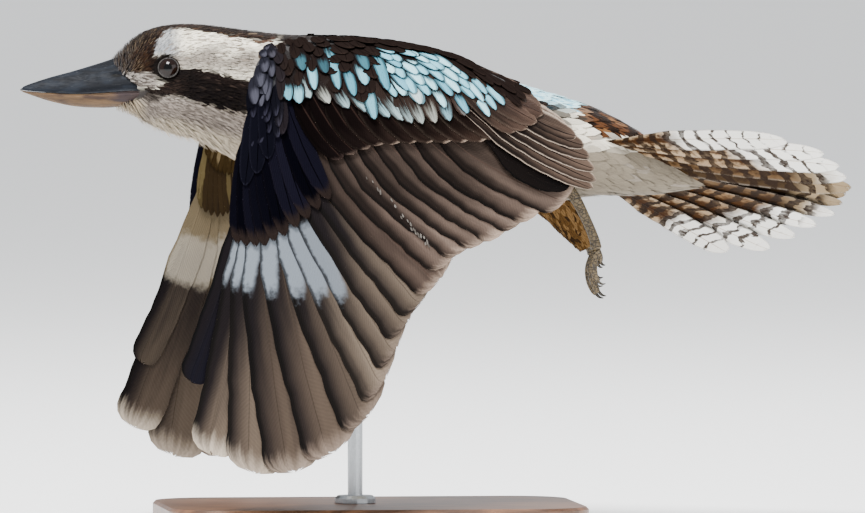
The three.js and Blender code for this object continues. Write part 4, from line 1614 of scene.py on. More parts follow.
@dataclass
class Wing:
    """A lowered wing: skin, flight feathers, coverts and spangles.

    A front spangle is the place of its tip as (x, z), the length of its blue part and how strong the blue is.
    """

    side: Side
    vane: NodeTree
    cast: NodeTree
    sheet: WingSurface = WingSurface()
    primaries: FeatherRow = FeatherRow(
        10, 31, 0, 0, 0.9, 4, ((-70, 206), (-66, 216), (-62, 225), (-56, 231)), PRIMARY_TIPS, Stamps.FLIGHT)
    secondaries: FeatherRow = FeatherRow(
        8, 31, 0, 0, 0.9, 5, ((-53, 233), (-28, 233), (10, 231)),
        ((28, 136), (40, 150), (55, 157), (70, 164), (84, 171), (101, 177)), Stamps.FLIGHT)
    tertials: FeatherRow = FeatherRow(
        8, 11.5, 3.2, 2.8, 0.6, 2, ((36, 222), (46, 230), (62, 235)),
        ((111, 178), (116, 184), (114, 195), (109, 205), (101, 213)), Stamps.FLIGHT)
    scapulars: FeatherRow = FeatherRow(
        7, 12.5, 4.6, 4.2, 0.5, 1, ((38, 236), (42, 240), (36, 245)),
        ((70, 211), (80, 213), (87, 219), (86, 225), (79, 231)))
    greater: FeatherRow = FeatherRow(
        13, 14.5, 3.2, 2.6, 0.5, 2, ((-50, 233), (0, 232), (46, 231)),
        ((-26, 199), (-4, 206.5), (24, 208), (54, 208.5), (86, 213)))
    hand: FeatherRow = FeatherRow(
        10, 11.5, 3.2, 2.4, 0.5, 2, ((-72, 216), (-66, 226), (-56, 233)),
        ((-82, 155), (-71, 153), (-60, 157), (-46, 166), (-33, 178)))
    median: FeatherRow = FeatherRow(
        12, 9.6, 4.2, 4.4, 0.2, 0, ((-54, 252), (-10, 249), (42, 244)),
        ((-42, 229), (-20, 223.5), (2, 219), (14, 216), (30, 217), (50, 222)))
    alula: FeatherRow = FeatherRow(
        3, 9, 5.2, 4.6, 0.7, 0, ((-71, 224), (-66, 231)), ((-77, 185), (-71, 191), (-65, 199)))
    under_streaks: FeatherRow = FeatherRow(
        15, 6.4, 3.2, 3.8, 0.3, 0, ((-68, 222), (-54, 228), (-38, 232)),
        ((-79, 197), (-74, 189), (-66, 186), (-56, 190), (-40, 200)))
    under_hand: FeatherRow = FeatherRow(
        16, 7.5, 2.0, 2.6, 0.4, 1, ((-73, 216), (-66, 226), (-54, 232)),
        ((-79, 182), (-81, 168), (-70, 163), (-58, 170), (-32, 186)))
    front_spangles: tuple[tuple[float, float, float, float], ...] = (
        (-45.6, 241, 8, 0.35), (-40, 232, 12.8, 1), (-26.6, 232, 18.7, 1), (-19, 229, 12.2, 1),
        (-53.6, 227.5, 7, 0.8), (-48.3, 226, 8, 0.8), (-10.7, 241, 8, 0.5), (-1.9, 231.6, 17.6, 1),
        (-9.7, 218, 14, 0.9), (-33, 239.5, 7, 0.25), (-13, 234, 9, 0.9),
    )
    spangle_top: Line = (
        (-56, 243), (-41, 247), (-15, 249), (-2, 251.5), (23, 250), (39, 243), (48, 237), (62, 229),
    )
    spangle_low: Line = (
        (-56, 229), (-40, 229), (-18, 227), (0, 228), (10, 225), (25, 225), (35, 222), (51, 218), (62, 221),
    )

    def __post_init__(self) -> None:
        """Start the wing's own random numbers."""
        self.rng: Random = np.random.default_rng(SEED + 40 + self.side.value)

    def row(self, row: FeatherRow) -> Tract:
        """Place the feathers of a row, bare of colour.

        Args:
            row: the row's sizes and its lines of roots and tips.

        Returns:
            The run of feathers.
        """
        share = np.linspace(0, 1, row.count)
        far_hand = row is self.primaries and self.side is Side.RIGHT
        roots = place_on(row.roots, share)
        way = place_on(FAR_PRIMARY_TIPS if far_hand else row.tips, share) - roots
        heading = unit(way)
        chance = self.rng.random(row.count)
        step = np.gradient(roots + way, axis=0)
        ahead = np.sum(step * heading, axis=1)
        aside = step[:, 1] * heading[:, 0] - step[:, 0] * heading[:, 1]
        middle = roots + way * 0.4
        fade = 0.3 + 0.7 * smooth(2, 16, self.sheet.top(middle[:, 0]) - middle[:, 1])
        return Tract(
            roots=roots, heading=heading,
            length=np.linalg.norm(way, axis=1) * self.rng.uniform(0.992, 1.004, row.count),
            width=row.width * self.rng.uniform(0.97, 1.03, row.count), low=row.low * fade,
            high=row.high * fade, tint=dyed(row.count, "#FFFFFF", chance), bow=row.bow, edge=row.lift,
            thick=0.25,
            skew=np.clip(-0.85 * ahead / np.maximum(aside, 1.0), -0.15, 0.75) * (row.stamp is Stamps.FLIGHT),
        )

    def dressed(self, name: str, tract: Tract, stamp: Stamps = Stamps.COVERT, face: Face = Face.UPPER,
                down: bool = False, **settings: object) -> Object:
        """Join a tract into a piece of this wing.

        Args:
            name: the piece's name without its side.
            tract: the coloured feathers.
            stamp: their shape.
            face: the face that they lie on.
            down: whether their places count the way down the sheet.
            settings: what differs in their finish.

        Returns:
            The new object.
        """
        name = f"{name}_{self.side.word}"
        surface = DownWing(self.sheet) if down else self.sheet
        finish = FeatherFinish(name, self.vane, **settings).make()
        far = self.side is Side.RIGHT
        return feather_piece(name, stamp, surface, tract, finish, face, far)

    def build(self) -> None:
        """Make the wing."""
        for make in (self.make_skin, self.make_primaries, self.make_secondaries, self.make_tertials,
                     self.make_scapulars, self.make_greater, self.make_median, self.make_hand,
                     self.make_alula, self.make_small, self.make_under, self.make_under_hand,
                     self.make_flecks, self.make_front_spangles, self.make_under_streaks):
            make()

    def root(self, x: Array, reach: Array) -> Array:
        """How much thicker the under face is where the arm leaves the body."""
        return 9 * np.exp(-np.maximum(0, reach - 20) / 26) * smooth(-36, -18, x)

    def make_skin(self) -> None:
        """The fleshy arm under the coverts."""
        def place(around: Array, along: Array) -> Array:
            """Point of the arm: down its upper face, back up its under face."""
            down = 1 - np.abs(2 * around - 1)
            spot = blend(place_on(self.sheet.upper_line, along), place_on(self.sheet.lower_line, along), down)
            x, z = spot.T
            belly = np.sin(math.pi * np.minimum(1, np.maximum(down, 1e-6) ** 0.6)) ** 0.8
            closing = np.minimum(1, np.sqrt(np.sin(math.pi * np.clip(down, 0, 1)) + 1e-9) * 1.5)
            half = (0.6 - 0.7 * down + 2.9 * belly) * closing
            root = self.root(x, self.sheet.reach(x, z)) * (1 - down) * smooth(0, 0.08, down)
            point = self.sheet.point(x, z, np.where(around < 0.5, half, -half - root))
            return point * np.array([1.0, float(-self.side.value), 1.0])

        name = f"wing_skin_{self.side.word}"
        finish = SkinFinish(name).make()
        sheet_piece(name, 60, 120, place, finish, colour=self.skin_colour)

    def skin_colour(self, points: Array) -> Array:
        """Slate at the wrist, brown elsewhere."""
        return blend("#0D0D13", "#140E0D", smooth(-62, -50, points[:, 0]))

    def make_primaries(self) -> None:
        """Ten long outer flight feathers with a white patch across most of them."""
        tract = self.row(self.primaries)
        order = np.arange(len(tract))
        near = self.side is Side.LEFT
        tract.width[:2] *= np.array([0.52, 0.8])
        tract.bow[:3] = (-4, -4, 0)
        brown = blend("#6E6154", "#40362E", self.rng.uniform(0, 1, len(tract)))
        # On the far wing the brown is darkened as painted shade, its outermost feather darkest of all; the
        # near outermost one is dark navy.
        tract.tint[:, :3] = brown * (1.0 if near else 0.7)
        tract.tint[0, :3] = ink("#0B0A11") if near else tract.tint[0, :3] * 0.4
        tract.dye(
            base=("#0D0A0C", np.where(order < 2, 0.8, 0.55)), shaft=(tract.tint[:, :3] * 0.5, 0.02),
            tip=(blend("#AFA392", "#74655A", smooth(-0.5, 4, order)),
                 np.interp(order, [0, 1, 4, 9], [0.98, 0.9, 0.91, 0.95])),
        )
        drop = -tract.heading[:, 1] * tract.length
        middle = tract.roots[:, 0] + tract.heading[:, 0] * tract.length * 0.45
        starts = [163, 173, 180, 184] if near else [156, 160, 163, 163]
        ends = [131, 129, 130, 136] if near else [126, 128, 128, 128]
        begin = (tract.roots[:, 1] - np.interp(middle, [-85, -40, -15, 0], starts)) / drop
        end = (tract.roots[:, 1] - np.interp(middle, [-90, -72, -50, -22], ends)) / drop
        end = end + self.rng.uniform(-0.015, 0.015, len(tract))
        reach = np.array([0, 0.2, 0.1, -0.02, -0.1, -0.2, -0.3, -0.15, 0.3, 0]) - (0 if near else 1.6)
        strength = np.array([0 if near else 0.85, 0.95, 1, 1, 1, 0.95, 0.9, 0.8, 0, 0])
        tract.patch = columns(begin, end, reach, strength)
        piece = self.dressed("primaries", tract, Stamps.FLIGHT, barbs=75.0, slant=0.09, depth=0.16, fray=0.08,
                             under="#5E5340", cast=self.cast, cast_share=0.96, strip=1.15,
                             white="#636970" if near else "#7B7468")
        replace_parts(piece, f"wing_{self.side.word}")

    def make_secondaries(self) -> None:
        """Eight inner flight feathers, brown with paler edges."""
        tract = self.row(self.secondaries)
        count = len(tract)
        tract.tint[:, :3] = blend("#62534A", "#3C312B", self.rng.uniform(0, 1, count))
        tract.dye(base=("#120D0B", self.rng.uniform(0.55, 0.8, count)), shaft=("#3A2E28", 0.03),
                  tip=("#A08B7B", self.rng.uniform(0.9, 0.93, count)))
        tract.tint[-2:, :3] *= np.array([[0.9], [0.7]])
        tract.width[-1] *= 0.85
        self.dressed("secondaries", tract, Stamps.FLIGHT, barbs=60.0, slant=0.12, depth=0.16,
                     fray=0.08, under="#75653F", cast=self.cast, cast_share=0.95, strip=2.0)

    def make_tertials(self) -> None:
        """Long feathers over the inner end of the secondaries, and a black one under them that stands in for
        the deep shadow there.
        """
        tract = self.row(self.tertials)
        count = len(tract)
        tract.tint[:, :3] = blend("#54453B", "#2E241F", self.rng.random(count))
        tract.dye(base=("#0D0908", self.rng.uniform(0.45, 0.75, count)), shaft=("#0C0807", 0.06),
                  tip=("#C4B09E", 0.95))
        # The first feather is a black stand-in for the deep shadow between the tertials and the secondaries:
        # moved along, shortened and widened.
        tract.roots[0] += tract.heading[0] * tract.length[0] * 0.26 + np.array([-0.8, -2.0])
        tract.tint[0, :3] = ink("#070505")
        tract.tip[0] = (*ink("#070505"), 1.2)
        for part, factor in ((tract.width, 1.5), (tract.length, 0.61), (tract.low, 0.6), (tract.high, 0.6)):
            part[0] *= factor
        self.dressed("tertials", tract, Stamps.OUTER, barbs=40.0, slant=0.14, edge=0.55, depth=0.25,
                     cast=self.cast, cast_share=0.85, strip=1.5)

    def make_scapulars(self) -> None:
        """Brown feathers with paler ends behind the spangles."""
        tract = self.row(self.scapulars)
        tract.tint[:, :3] = blend("#3A2C25", "#4C3C33", self.rng.random(len(tract)))
        tract.dye(base=("#110C0B", 0.7), shaft=("#231915", 0.06), tip=("#8D7A6B", 0.95))
        self.dressed("scapulars", tract, barbs=24.0, edge=0.1, depth=0.2, cast=self.cast,
                     cast_share=0.3)

    def make_greater(self) -> None:
        """The row of long coverts over the secondaries."""
        tract = self.row(self.greater)
        share = np.linspace(0, 1, len(tract))
        tract.tint[:, :3] = blend("#0D0909", "#3E3029", share ** 1.4)
        tract.dye(base=("#060404", 0.75), shaft=("#1E1512", 0.07),
                  tip=(blend("#2A211E", "#B09A88", share), self.rng.uniform(0.9, 0.93, len(tract))))
        self.dressed("greater_coverts", tract, barbs=24.0, edge=0.05, depth=0.2, gloss=0.0,
                     cast=self.cast, cast_share=0.5, strip=1.3)

    def make_median(self) -> None:
        """The lowest spangled row, tipped grey to dull blue."""
        tract = self.row(self.median)
        count = len(tract)
        tract.tint[:, :3] = blend("#120D0C", "#2C211C", np.linspace(0, 1, count))
        tips = blend("#93948B", "#6FA3B1", self.rng.random(count) * 0.9)
        tips = blend(tips, "#54433A", smooth(8.5, 10.5, np.arange(count)))
        tract.dye(shaft=("#0E0A09", 0.06), tip=(tips, self.rng.uniform(0.6, 0.7, count)))
        self.dressed("median_coverts", tract, barbs=16.0, slant=0.22, depth=0.2, spot=1.0)

    def make_hand(self) -> None:
        """Blue-black coverts over the primaries."""
        tract = self.row(self.hand)
        # Some feathers are a lighter blue-black at random, as a painted sheen.
        tract.tint[:, :3] = blend("#030306", "#0F0E17", self.rng.random(len(tract)) ** 2)
        tract.dye(shaft=("#020203", 0.06), tip=("#1C1614", 0.84))
        self.dressed("primary_coverts", tract, barbs=26.0, slant=0.18, edge=0.06, depth=0.3, gloss=0.0)

    def make_alula(self) -> None:
        """Three stiff feathers at the wrist."""
        tract = self.row(self.alula)
        tract.tint[:, :3] = ink("#08080E")
        # The blue-grey tip and faint pale edges are painted sheen.
        tract.dye(shaft=("#020203", 0.06), tip=("#2A2935", 0.95))
        self.dressed("alula", tract, barbs=22.0, edge=0.1, depth=0.25, gloss=0.0)

    def small_places(self, step: float, gap: float, start: float = -84.0, end: float = 72.0) -> Array:
        """Staggered places over the arm as (x, way down).

        Args:
            step: way down between rows.
            gap: distance within a row.
            start: where the rows begin.
            end: where they stop.

        Returns:
            The places inside the arm.
        """
        places = np.concatenate([
            columns(np.arange(start + 0.5 * gap * (index % 2), end, gap), far)
            for index, far in enumerate(np.arange(0.5, 100, step))
        ])
        places += self.rng.normal(0, 1, places.shape) * np.array([gap, step]) * 0.1
        z = self.sheet.run_down(*places.T)
        front = np.interp(z, [200, 220, 236, 246, 257, 262], [-75, -75, -72, -69.5, -64, -50])
        floor = np.interp(places[:, 0], [-74, -55, -20, 20, 60, 72], [218, 228, 232, 229, 230, 236])
        return places[(places[:, 0] > front) & (z > floor)]

    def scales(self, places: Array) -> Array:
        """Millimetres per step of x and of the way down, on the curved sheet."""
        x, far = places.T
        ahead, behind = (DownWing(self.sheet).point(x + step, far, 0.0) for step in (0.5, -0.5))
        return columns(np.linalg.norm(ahead - behind, axis=1), 1.0)

    def make_small(self) -> None:
        """Small coverts: slate with painted sheen on the tips at the wrist, dark along the back, spangled
        with pale blue elsewhere.
        """
        stretches = ((5.6, 5.8, -84, -57), (9.6, 9.0, -57, -6), (6.6, 7.2, -6, 72))
        places = np.concatenate([self.small_places(step, gap, *ends) for step, gap, *ends in stretches])
        places = places[np.argsort(-places[:, 1])]
        count = len(places)
        x, far = places.T
        lean = np.radians(np.interp(x, [-74, -40, 0, 40, 66], [2, 3, 10, 32, 52]))
        lean = lean + np.radians(16) * (1 - smooth(4, 20, far)) * smooth(-10, 20, x)
        lean = lean + self.rng.normal(0, 0.09, count)
        broad = np.interp(x, [-62, -54, -12, 0], [0.72, 0.95, 0.95, 1.0])
        size = (0.75 + 0.25 * smooth(0, 20, far)) * np.interp(x, [-62, -54, -12, 0], [1.05, 1.3, 1.3, 1.0])
        chance, dice = self.rng.random(count), self.rng.random(count)
        paint = Paint.plain(count, chance, "#191311")
        paint.put(np.ones(count), "#191311", shaft="#0E0A09", tip="#2E241F", streak=0.06, start=0.86)
        tail_x = x + 14 * size * np.sin(lean)
        tail_z = self.sheet.run_down(tail_x, far + 14 * size * np.cos(lean))
        upper, lower = (np.interp(tail_x, *np.array(line).T) for line in (self.spangle_top, self.spangle_low))
        spangled = (tail_x > -5) & (tail_x < 63) & (tail_z > lower) & (tail_z < upper)
        paint.put(spangled * 1.0, "#150F0E", shaft="#120C0B", tip="#78B6C6", streak=0.05, start=0.46)
        paint.start = np.where(spangled & (tail_x > -2) & (dice < 0.7), 0.3, paint.start)
        paint.start = np.where(spangled & (dice > 0.9), 0.68, paint.start)
        paint.tint = blend(paint.tint, "#3D5F69", spangled * (tail_x > 8) * (dice < 0.8) * 0.85)
        for colour, share in (("#A6D6DE", (chance > 0.7) * 0.7), ("#5E9CB0", (chance < 0.25) * 0.8),
                              ("#B9BDB6", (tail_z < lower + 4) * (dice < 0.5) * 0.7)):
            paint.tip = blend(paint.tip, colour, spangled * share)
        # At the wrist the pale grey tips are painted sheen, fainter on the lower feathers.
        wrist = 1 - smooth(-62, -54, x)
        paint.put(wrist, "#18181E", shaft="#111115", tip="#37373F", streak=0.05, start=0.4)
        paint.put(wrist * (tail_z < 226), "#08080D", shaft="#040406", tip="#23222C", start=0.7)
        fade = fade_in(far)
        tract = Tract(
            roots=places, heading=columns(np.sin(lean), np.cos(lean)),
            length=17.5 * size * self.rng.uniform(0.9, 1.1, count),
            width=9.6 * broad * self.rng.uniform(0.82, 1.12, count),
            low=3.0 * fade, high=(5.6 + self.rng.uniform(-0.3, 0.3, count)) * fade, scale=self.scales(places),
            edge=self.rng.normal(0, 0.15, count), thick=0.3, home=columns(0.5 - far / 210, (x + 80) / 152),
            **paint.tables(),
        ).only((tail_z > lower + 1.5) | (x < -57))
        self.dressed("small_coverts", tract, down=True, barbs=12.0, slant=0.28, depth=0.22, spot=1.0,
                     gloss=0.0)

    def make_front_spangles(self) -> None:
        """Broad pale blue feathers that stand apart in the fore part of the spangles."""
        x, z, blue, strength = np.array(self.front_spangles, float).T
        count = len(x)
        lean = np.radians(np.interp(x, [-57, -10], [1, 9])) + self.rng.normal(0, 0.03, count)
        heading = columns(np.sin(lean), -np.cos(lean))
        deep = self.sheet.top(x) - z
        length = np.minimum(blue * 1.15 + 6, deep - 2)
        chance = self.rng.random(count)
        dark = dyed(count, "#15100F", 0.05)
        pale = blend(dark[:, :3], blend("#4C8797", "#78AFBC", chance), strength)
        tract = Tract(
            roots=columns(x, z) - heading * length[:, None], heading=heading, length=length,
            width=self.rng.uniform(6.6, 8.2, count), low=3.6 * fade_in(deep), high=6.2 * fade_in(deep),
            tint=dyed(count, dark[:, :3], chance), shaft=dark, tip=dyed(count, pale, 0.9 - blue / length),
            edge=self.rng.normal(0, 0.15, count), thick=0.3,
        )
        self.dressed("front_spangles", tract, barbs=12.0, slant=0.28, depth=0.22, spot=1.0, gloss=0.0)

    def make_under_streaks(self) -> None:
        """Buff coverts with dark middles at the wrist's under face."""
        tract = self.row(self.under_streaks)
        count = len(tract)
        tract.tint[:, :3] = blend("#6B5D44", "#2A2011", self.rng.random(count))
        tract.dye(shaft=("#150E07", self.rng.uniform(0.1, 0.8, count)),
                  tip=("#2A2011", self.rng.uniform(0.6, 0.9, count)))
        self.dressed("under_streaks", tract, face=Face.UNDER, barbs=12.0, slant=0.25, depth=0.3,
                     gloss=0.0)

    def make_flecks(self) -> None:
        """A line of small whitish marks where primaries and secondaries meet."""
        even = np.linspace(0, 0.92, 11) + self.rng.normal(0, 0.03, 11)
        share = np.append(even, self.rng.uniform(0.86, 1.1, 12))
        count = len(share)
        lean = self.rng.normal(0.35, 0.12, count)
        places = columns(-13.4 + 29 * share, 190.5 - 31.5 * share) + self.rng.normal(0, 0.8, (count, 2))
        pale = blend("#6F6A64", "#3C3733", self.rng.random(count))
        tract = Tract(
            roots=places, heading=columns(np.sin(lean), -np.cos(lean)),
            length=self.rng.uniform(1.6, 3.4, count), width=self.rng.uniform(0.6, 1.1, count), low=1.3,
            high=1.5, tint=dyed(count, pale, self.rng.random(count)), shaft=dyed(count, pale, 0.05),
            tip=dyed(count, "#FFFFFF", NO_TIP), thick=0.08,
        )
        self.dressed("flecks", tract, Stamps.BODY, barbs=5.0, slant=0.3, depth=0.2)

    def make_under_hand(self) -> None:
        """Buff coverts over the bases of the primaries on the under face, some of them dark."""
        tract = self.row(self.under_hand)
        count = len(tract)
        dark = np.interp(np.arange(count), [0, 3.5, 4.5, 9, 10, 16], [0.1, 0.1, 0.95, 0.95, 0.4, 0.4])
        tract.tint[:, :3] = blend("#54492F", "#22180C", dark)
        tract.dye(shaft=("#231A10", self.rng.uniform(0.06, 0.4, count)), tip=(tract.tint[:, :3], NO_TIP))
        self.dressed("under_hand", tract, face=Face.UNDER, barbs=24.0, depth=0.3)

    def make_under(self) -> None:
        """Buff coverts with dark streaks on the under face."""
        places = self.small_places(5.0, 5.0)
        count = len(places)
        x, far = places.T
        lean = np.radians(np.interp(x, [-74, -40, 0, 60], [4, 10, 25, 50])) + self.rng.normal(0, 0.08, count)
        chance, dice = self.rng.random(count), self.rng.random(count)
        paint = Paint.plain(count, chance, "#66573C")
        paint.put((dice < 0.7) * 0.9, "#5A4A30", shaft="#160E07", tip="#66573C", streak=0.42, start=0.9)
        paint.put((1 - smooth(3, 9, far)) * 0.9, "#231A16")
        root = self.root(x, self.sheet.reach(x, self.sheet.run_down(x, far)))
        fade = fade_in(far)
        tract = Tract(
            roots=places, heading=columns(np.sin(lean), np.cos(lean)),
            length=15 * self.rng.uniform(0.85, 1.15, count), width=6.5 * self.rng.uniform(0.9, 1.1, count),
            low=(2.4 + root) * fade, high=(4.4 + root + self.rng.uniform(-0.3, 0.4, count)) * fade,
            scale=self.scales(places), thick=0.25, home=columns(0.5 + far / 210, (x + 80) / 152),
            **paint.tables(),
        )
        self.dressed("under_coverts", tract, Stamps.BODY, Face.UNDER, down=True, slant=0.3, depth=0.2)


# Tail


@dataclass
class Tail:
    """Twelve barred feathers spread in a fan."""

    vane: NodeTree
    bars: NodeTree
    surface: TailSurface = TailSurface()
    width: float = 22.0
    root_spacing: float = 3.4
    lift: float = 1.3
    left: tuple[Spot, ...] = (
        (3.5, 134, 1.1), (7.5, 137, 1.1), (11.5, 135, 0.95), (16.5, 133, 0.66), (23, 128, 0.58),
        (30, 112, 0.4),
    )
    right: tuple[Spot, ...] = (
        (-1, 133, 1.1), (2.5, 130, 0.95), (8, 123, 0.76), (14.5, 115, 0.7), (22.5, 107, 0.66), (31, 90, 0.6),
    )

    def build(self) -> None:
        """Make both halves of the fan."""
        finish = FeatherFinish("tail", self.vane, barbs=60.0, slant=0.12, depth=0.14, bars=self.bars).make()
        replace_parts(self.half(Side.LEFT, self.left, 2.4, finish), "tail")
        self.half(Side.RIGHT, self.right, 1.2, finish)

    def half(self, side: Side, feathers: tuple[Spot, ...], level: float, finish: Material) -> Object:
        """Make one half of the fan.

        Args:
            side: the half.
            feathers: angle, length and end of the brown part of each, from the middle outwards.
            level: how high the middle one lies over the others.
            finish: the material.

        Returns:
            The new object.
        """
        rng = np.random.default_rng(SEED + 70 + side.value)
        angle, length, turn = np.array(feathers, float).T
        hand = -float(side.value)
        angle = np.radians(angle) * hand
        order = np.arange(len(length))
        height = np.where(order == 0, level, 0.0)
        tract = Tract(
            roots=columns(0.0, hand * self.root_spacing * (order + 0.5)),
            heading=columns(np.cos(angle), np.sin(angle)), length=length, width=self.width * -hand,
            low=height, high=height,
            tint=dyed(len(order), "#FFFFFF", rng.random(len(order))), edge=self.lift, thick=0.3,
            patch=columns(turn, turn, turn, 1.0),
        )
        tract.dye(shaft=("#B9A58F", 0.03), tip=("#FFFFFF", NO_TIP))
        name = f"tail_fan_{side.word}"
        return feather_piece(name, Stamps.TAIL, self.surface, tract, finish)


# Legs


@dataclass
class Leg:
    """Feathered shank, scaly tarsus, toes and claws."""

    side: Side
    shank: LimbSurface
    tarsus: LimbSurface
    coat: Material
    skin: Material
    scales: Material
    claw: Material
    toes: tuple[tuple[float, tuple[float, ...], Line], ...] = (
        (0, (2.4, 2.3, 2, 1.6, 0.9, 0.3),
         ((0, 0), (-2.4, -7), (-2.2, -14), (0, -19.5), (2.8, -22.6), (5.4, -23.4))),
        (4, (2.2, 2.1, 1.8, 1.3, 0.7, 0.3),
         ((0, 0), (-1.4, -5), (-1.4, -9), (0.2, -12.5), (2.4, -13.8), (4.2, -13.4))),
        (-4, (2.2, 2.1, 1.8, 1.3, 0.7, 0.3),
         ((0, 0), (-1.8, -6), (-1.6, -11), (0, -15), (2.4, -16.8), (4.6, -16.6))),
        (0.8, (2.3, 2, 1.4, 0.8, 0.3), ((0, 1), (1.6, -2.6), (2.2, -5), (3.4, -6.6), (5, -7))),
    )

    def build(self) -> None:
        """Make the leg."""
        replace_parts(self.make_shank(), f"shank_{self.side.word}")
        self.make_coat()
        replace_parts(self.limb("tarsus", self.tarsus, 40, self.scales), f"foot_{self.side.word}")
        ankle = self.tarsus.path[-1]
        for index, (across, radii, places) in enumerate(self.toes):
            path = tuple(
                (ankle[0] + back, ankle[1] + across * min(1.0, i / 2), ankle[2] + up)
                for i, (back, up) in enumerate(places)
            )
            split = len(path) - 2
            tip = tuple(np.array(path[split - 1]) * 0.35 + np.array(path[split]) * 0.65)
            toe = LimbSurface(path[:split] + (tip,), radii[:split] + (radii[split - 1] * 0.55,))
            nail = LimbSurface(path[split - 1:], (radii[split - 1] * 0.62, radii[split] * 0.8, 0.22))
            self.limb(f"toe_{index}", toe, 36, self.scales)
            self.limb(f"claw_{index}", nail, 24, self.claw)

    def limb(self, name: str, surface: LimbSurface, steps: int, finish: Material) -> Object:
        """A closed round limb that tapers at its very end.

        Args:
            name: the piece's name without its side.
            surface: the limb's surface.
            steps: faces along it.
            finish: the material.

        Returns:
            The new object.
        """
        def place(around: Array, along: Array) -> Array:
            """Point of the limb."""
            taper = 0.75 * surface.radii[-1] * smooth(0.9, 1, along)
            return surface.point(along, 2 * math.pi * around, -taper)

        return sheet_piece(f"{name}_{self.side.word}", 20, steps, place, finish)

    def make_shank(self) -> Object:
        """Skin of the feathered part."""
        tint = ink("#E3DBCB") if self.side is Side.LEFT else ink("#4E3819")

        def place(around: Array, along: Array) -> Array:
            """Point of the skin."""
            return self.shank.point(along, 2 * math.pi * around, -1.4)

        return sheet_piece(f"shank_skin_{self.side.word}", 48, 40, place, self.skin,
                           colour=lambda points: tint)

    def make_coat(self) -> Object:
        """Soft feathers of the shank."""
        rng = np.random.default_rng(SEED + 90 + self.side.value)
        rows = []
        for index, share in enumerate(np.arange(0.0, 0.93, 2.0 / self.shank.length())):
            count = max(6, int(2 * math.pi * float(self.shank.radius(share)) / 1.9))
            rows.append(columns(share, (np.arange(count) + 0.5 * (index % 2)) / count * 2 * math.pi))
        roots = np.concatenate(rows)
        count = len(roots)
        turn = rng.normal(0, 0.12, count)
        paint = Paint.plain(count, rng.random(count), "#E6DFD0")
        if self.side is Side.RIGHT:
            paint.put(np.ones(count), "#51391D", shaft="#332411")
            paint.put(paint.chance < 0.3, "#735735", shaft="#43311B")
            paint.put(paint.chance > 0.85, "#2A1D10")
        tract = Tract(
            roots=roots, heading=columns(np.cos(turn), np.sin(turn)), length=rng.uniform(7, 9.5, count),
            width=rng.uniform(2.4, 3.2, count), low=-1.2, high=rng.uniform(-0.2, 0.5, count),
            scale=self.shank.scale(*roots.T), thick=0.22,
            home=columns((roots[:, 1] / (2 * math.pi)) % 1, roots[:, 0]), **paint.tables(),
        )
        name = f"coat_shank_{self.side.word}"
        return feather_piece(name, Stamps.BODY, self.shank, tract, self.coat)


# Stand, studio and camera


@dataclass(frozen=True)
class Stand:
    """Finish of the plain base and rod, whose shapes stay as packed."""

    def dress(self) -> None:
        """Give both their materials."""
        for node, finish in (("stand_base", WoodFinish("wood")), ("stand_rod", SteelFinish("steel"))):
            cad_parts[node].material_slots[0].material = finish.make()
            LOG.info("%s dressed", node)


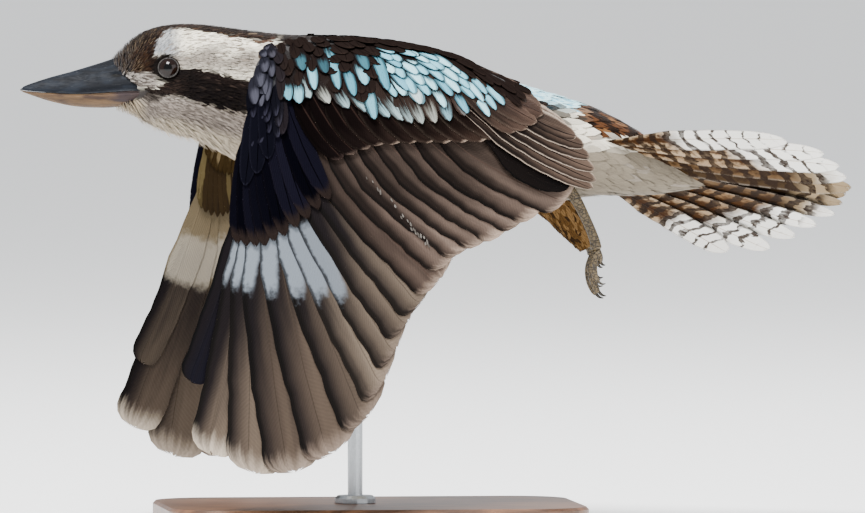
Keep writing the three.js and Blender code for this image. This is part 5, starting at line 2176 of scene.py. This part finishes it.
@dataclass(frozen=True)
class Studio:
    """Wide pale floor, soft light and the camera."""

    azimuth: float = -6.5
    elevation: float = 2.0
    distance: float = 9.0
    target: Spot = (0.0335, 0.0, 0.1444)
    width: float = 0.461
    sensor: float = 36.0
    floor_half: float = 45.0
    lamps: tuple[tuple[str, Spot, float, float], ...] = (
        ("key", (-0.9, -1.6, 2.9), 1.1, 300.0), ("fill", (1.9, -2.4, 1.2), 2.2, 40.0),
        ("rim", (0.6, 1.3, 2.2), 1.2, 45.0),
    )

    def build(self) -> None:
        """Make floor, light and camera."""
        self.floor()
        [self.lamp(*lamp) for lamp in self.lamps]
        self.camera()
        world = bpy.data.worlds.new("studio")
        world.use_nodes = True
        background = world.node_tree.nodes["Background"]
        background.inputs["Color"].default_value = (0.93, 0.96, 1.0, 1.0)
        background.inputs["Strength"].default_value = 0.8
        bpy.context.scene.world = world

    def floor(self) -> Object:
        """A floor so wide that its far part fills the picture behind the bird."""
        shape = bmesh.new()
        bmesh.ops.create_grid(shape, x_segments=1, y_segments=1, size=self.floor_half)
        mesh = bpy.data.meshes.new("floor")
        shape.to_mesh(mesh)
        shape.free()
        mesh.materials.append(PlainFinish("floor", "#FBFBFA", 0.3).make())
        piece = bpy.data.objects.new("floor", mesh)
        bpy.context.scene.collection.objects.link(piece)
        return piece

    def aimed(self, name: str, data: bpy.types.ID, spot: Vector) -> Object:
        """Place a light or camera so that it looks at the target."""
        thing = bpy.data.objects.new(name, data)
        thing.location = spot
        thing.rotation_euler = (Vector(self.target) - spot).to_track_quat("-Z", "Y").to_euler()
        bpy.context.scene.collection.objects.link(thing)
        return thing

    def lamp(self, name: str, spot: Spot, size: float, power: float) -> Object:
        """A square soft light."""
        light = bpy.data.lights.new(name, "AREA")
        light.size = size
        light.energy = power
        return self.aimed(name, light, Vector(spot))

    def camera(self) -> Object:
        """The camera at the photo's angle and framing."""
        lens = bpy.data.cameras.new("camera")
        lens.sensor_width = self.sensor
        lens.lens = self.sensor * self.distance / self.width
        lens.clip_end = 150.0
        turn, rise = math.radians(self.azimuth), math.radians(self.elevation)
        back = Vector((math.sin(turn) * math.cos(rise), -math.cos(turn) * math.cos(rise), math.sin(rise)))
        thing = self.aimed("camera", lens, Vector(self.target) + back * self.distance)
        bpy.context.scene.camera = thing
        return thing


@dataclass
class Kookaburra:
    """The whole bird."""

    trunk: TrunkSurface = TrunkSurface()
    marks: BodyMarks = BodyMarks()
    near_shank: LimbSurface = LimbSurface(((86, -13, 191), (92, -16.5, 181), (96.5, -18, 171)), (14, 9, 5))
    far_shank: LimbSurface = LimbSurface(
        ((88, 14, 188), (101, 17, 175), (111, 18, 160), (118.5, 18, 148)), (17, 12.5, 8, 4))
    near_bone: LimbSurface = LimbSurface(
        ((100, -18.5, 185), (107, -18.5, 177), (112.7, -18.5, 166.5), (118, -18.5, 154), (119.2, -18.5, 147)),
        (3.4, 3, 2.6, 2.7, 3.4))
    far_bone: LimbSurface = LimbSurface(
        ((114, 18, 157), (118, 18, 151.5), (120.5, 18, 148), (122.3, 18, 144.5)), (3.4, 3, 2.7, 3.4))

    def build(self) -> None:
        """Make every piece of the bird."""
        vane, cast, bars = vane_group(), cast_group(), bars_group()
        Trunk(self.trunk, self.marks, vane).build()
        Bill().build()
        eye = EyeFinish("eye").make()
        lid = ScaleFinish("eyelid", "#38332F", "#181411", (900.0, 900.0, 900.0)).make()
        for side in Side:
            Eye(side, self.trunk).build(eye, lid)
            Wing(side, vane, cast).build()
        Tail(vane, bars).build()
        finishes = [finish.make() for finish in (
            FeatherFinish("shank_down", vane, barbs=5.0, slant=0.35, depth=0.2, roughness=0.8, fray=0.0),
            SkinFinish("shank_skin"), ScaleFinish("leg", "#5C4D33", "#1D160D", (420.0, 420.0, 560.0)),
            HornFinish("claw", "#2D2A26", "#4B443B", 0.6, 0.35),
        )]
        Leg(Side.LEFT, self.near_shank, self.near_bone, *finishes).build()
        Leg(Side.RIGHT, self.far_shank, self.far_bone, *finishes).build()


def main() -> None:
    """Build the scene."""
    Kookaburra().build()
    Stand().dress()
    Studio().build()


if __name__ == "__main__":
    main()
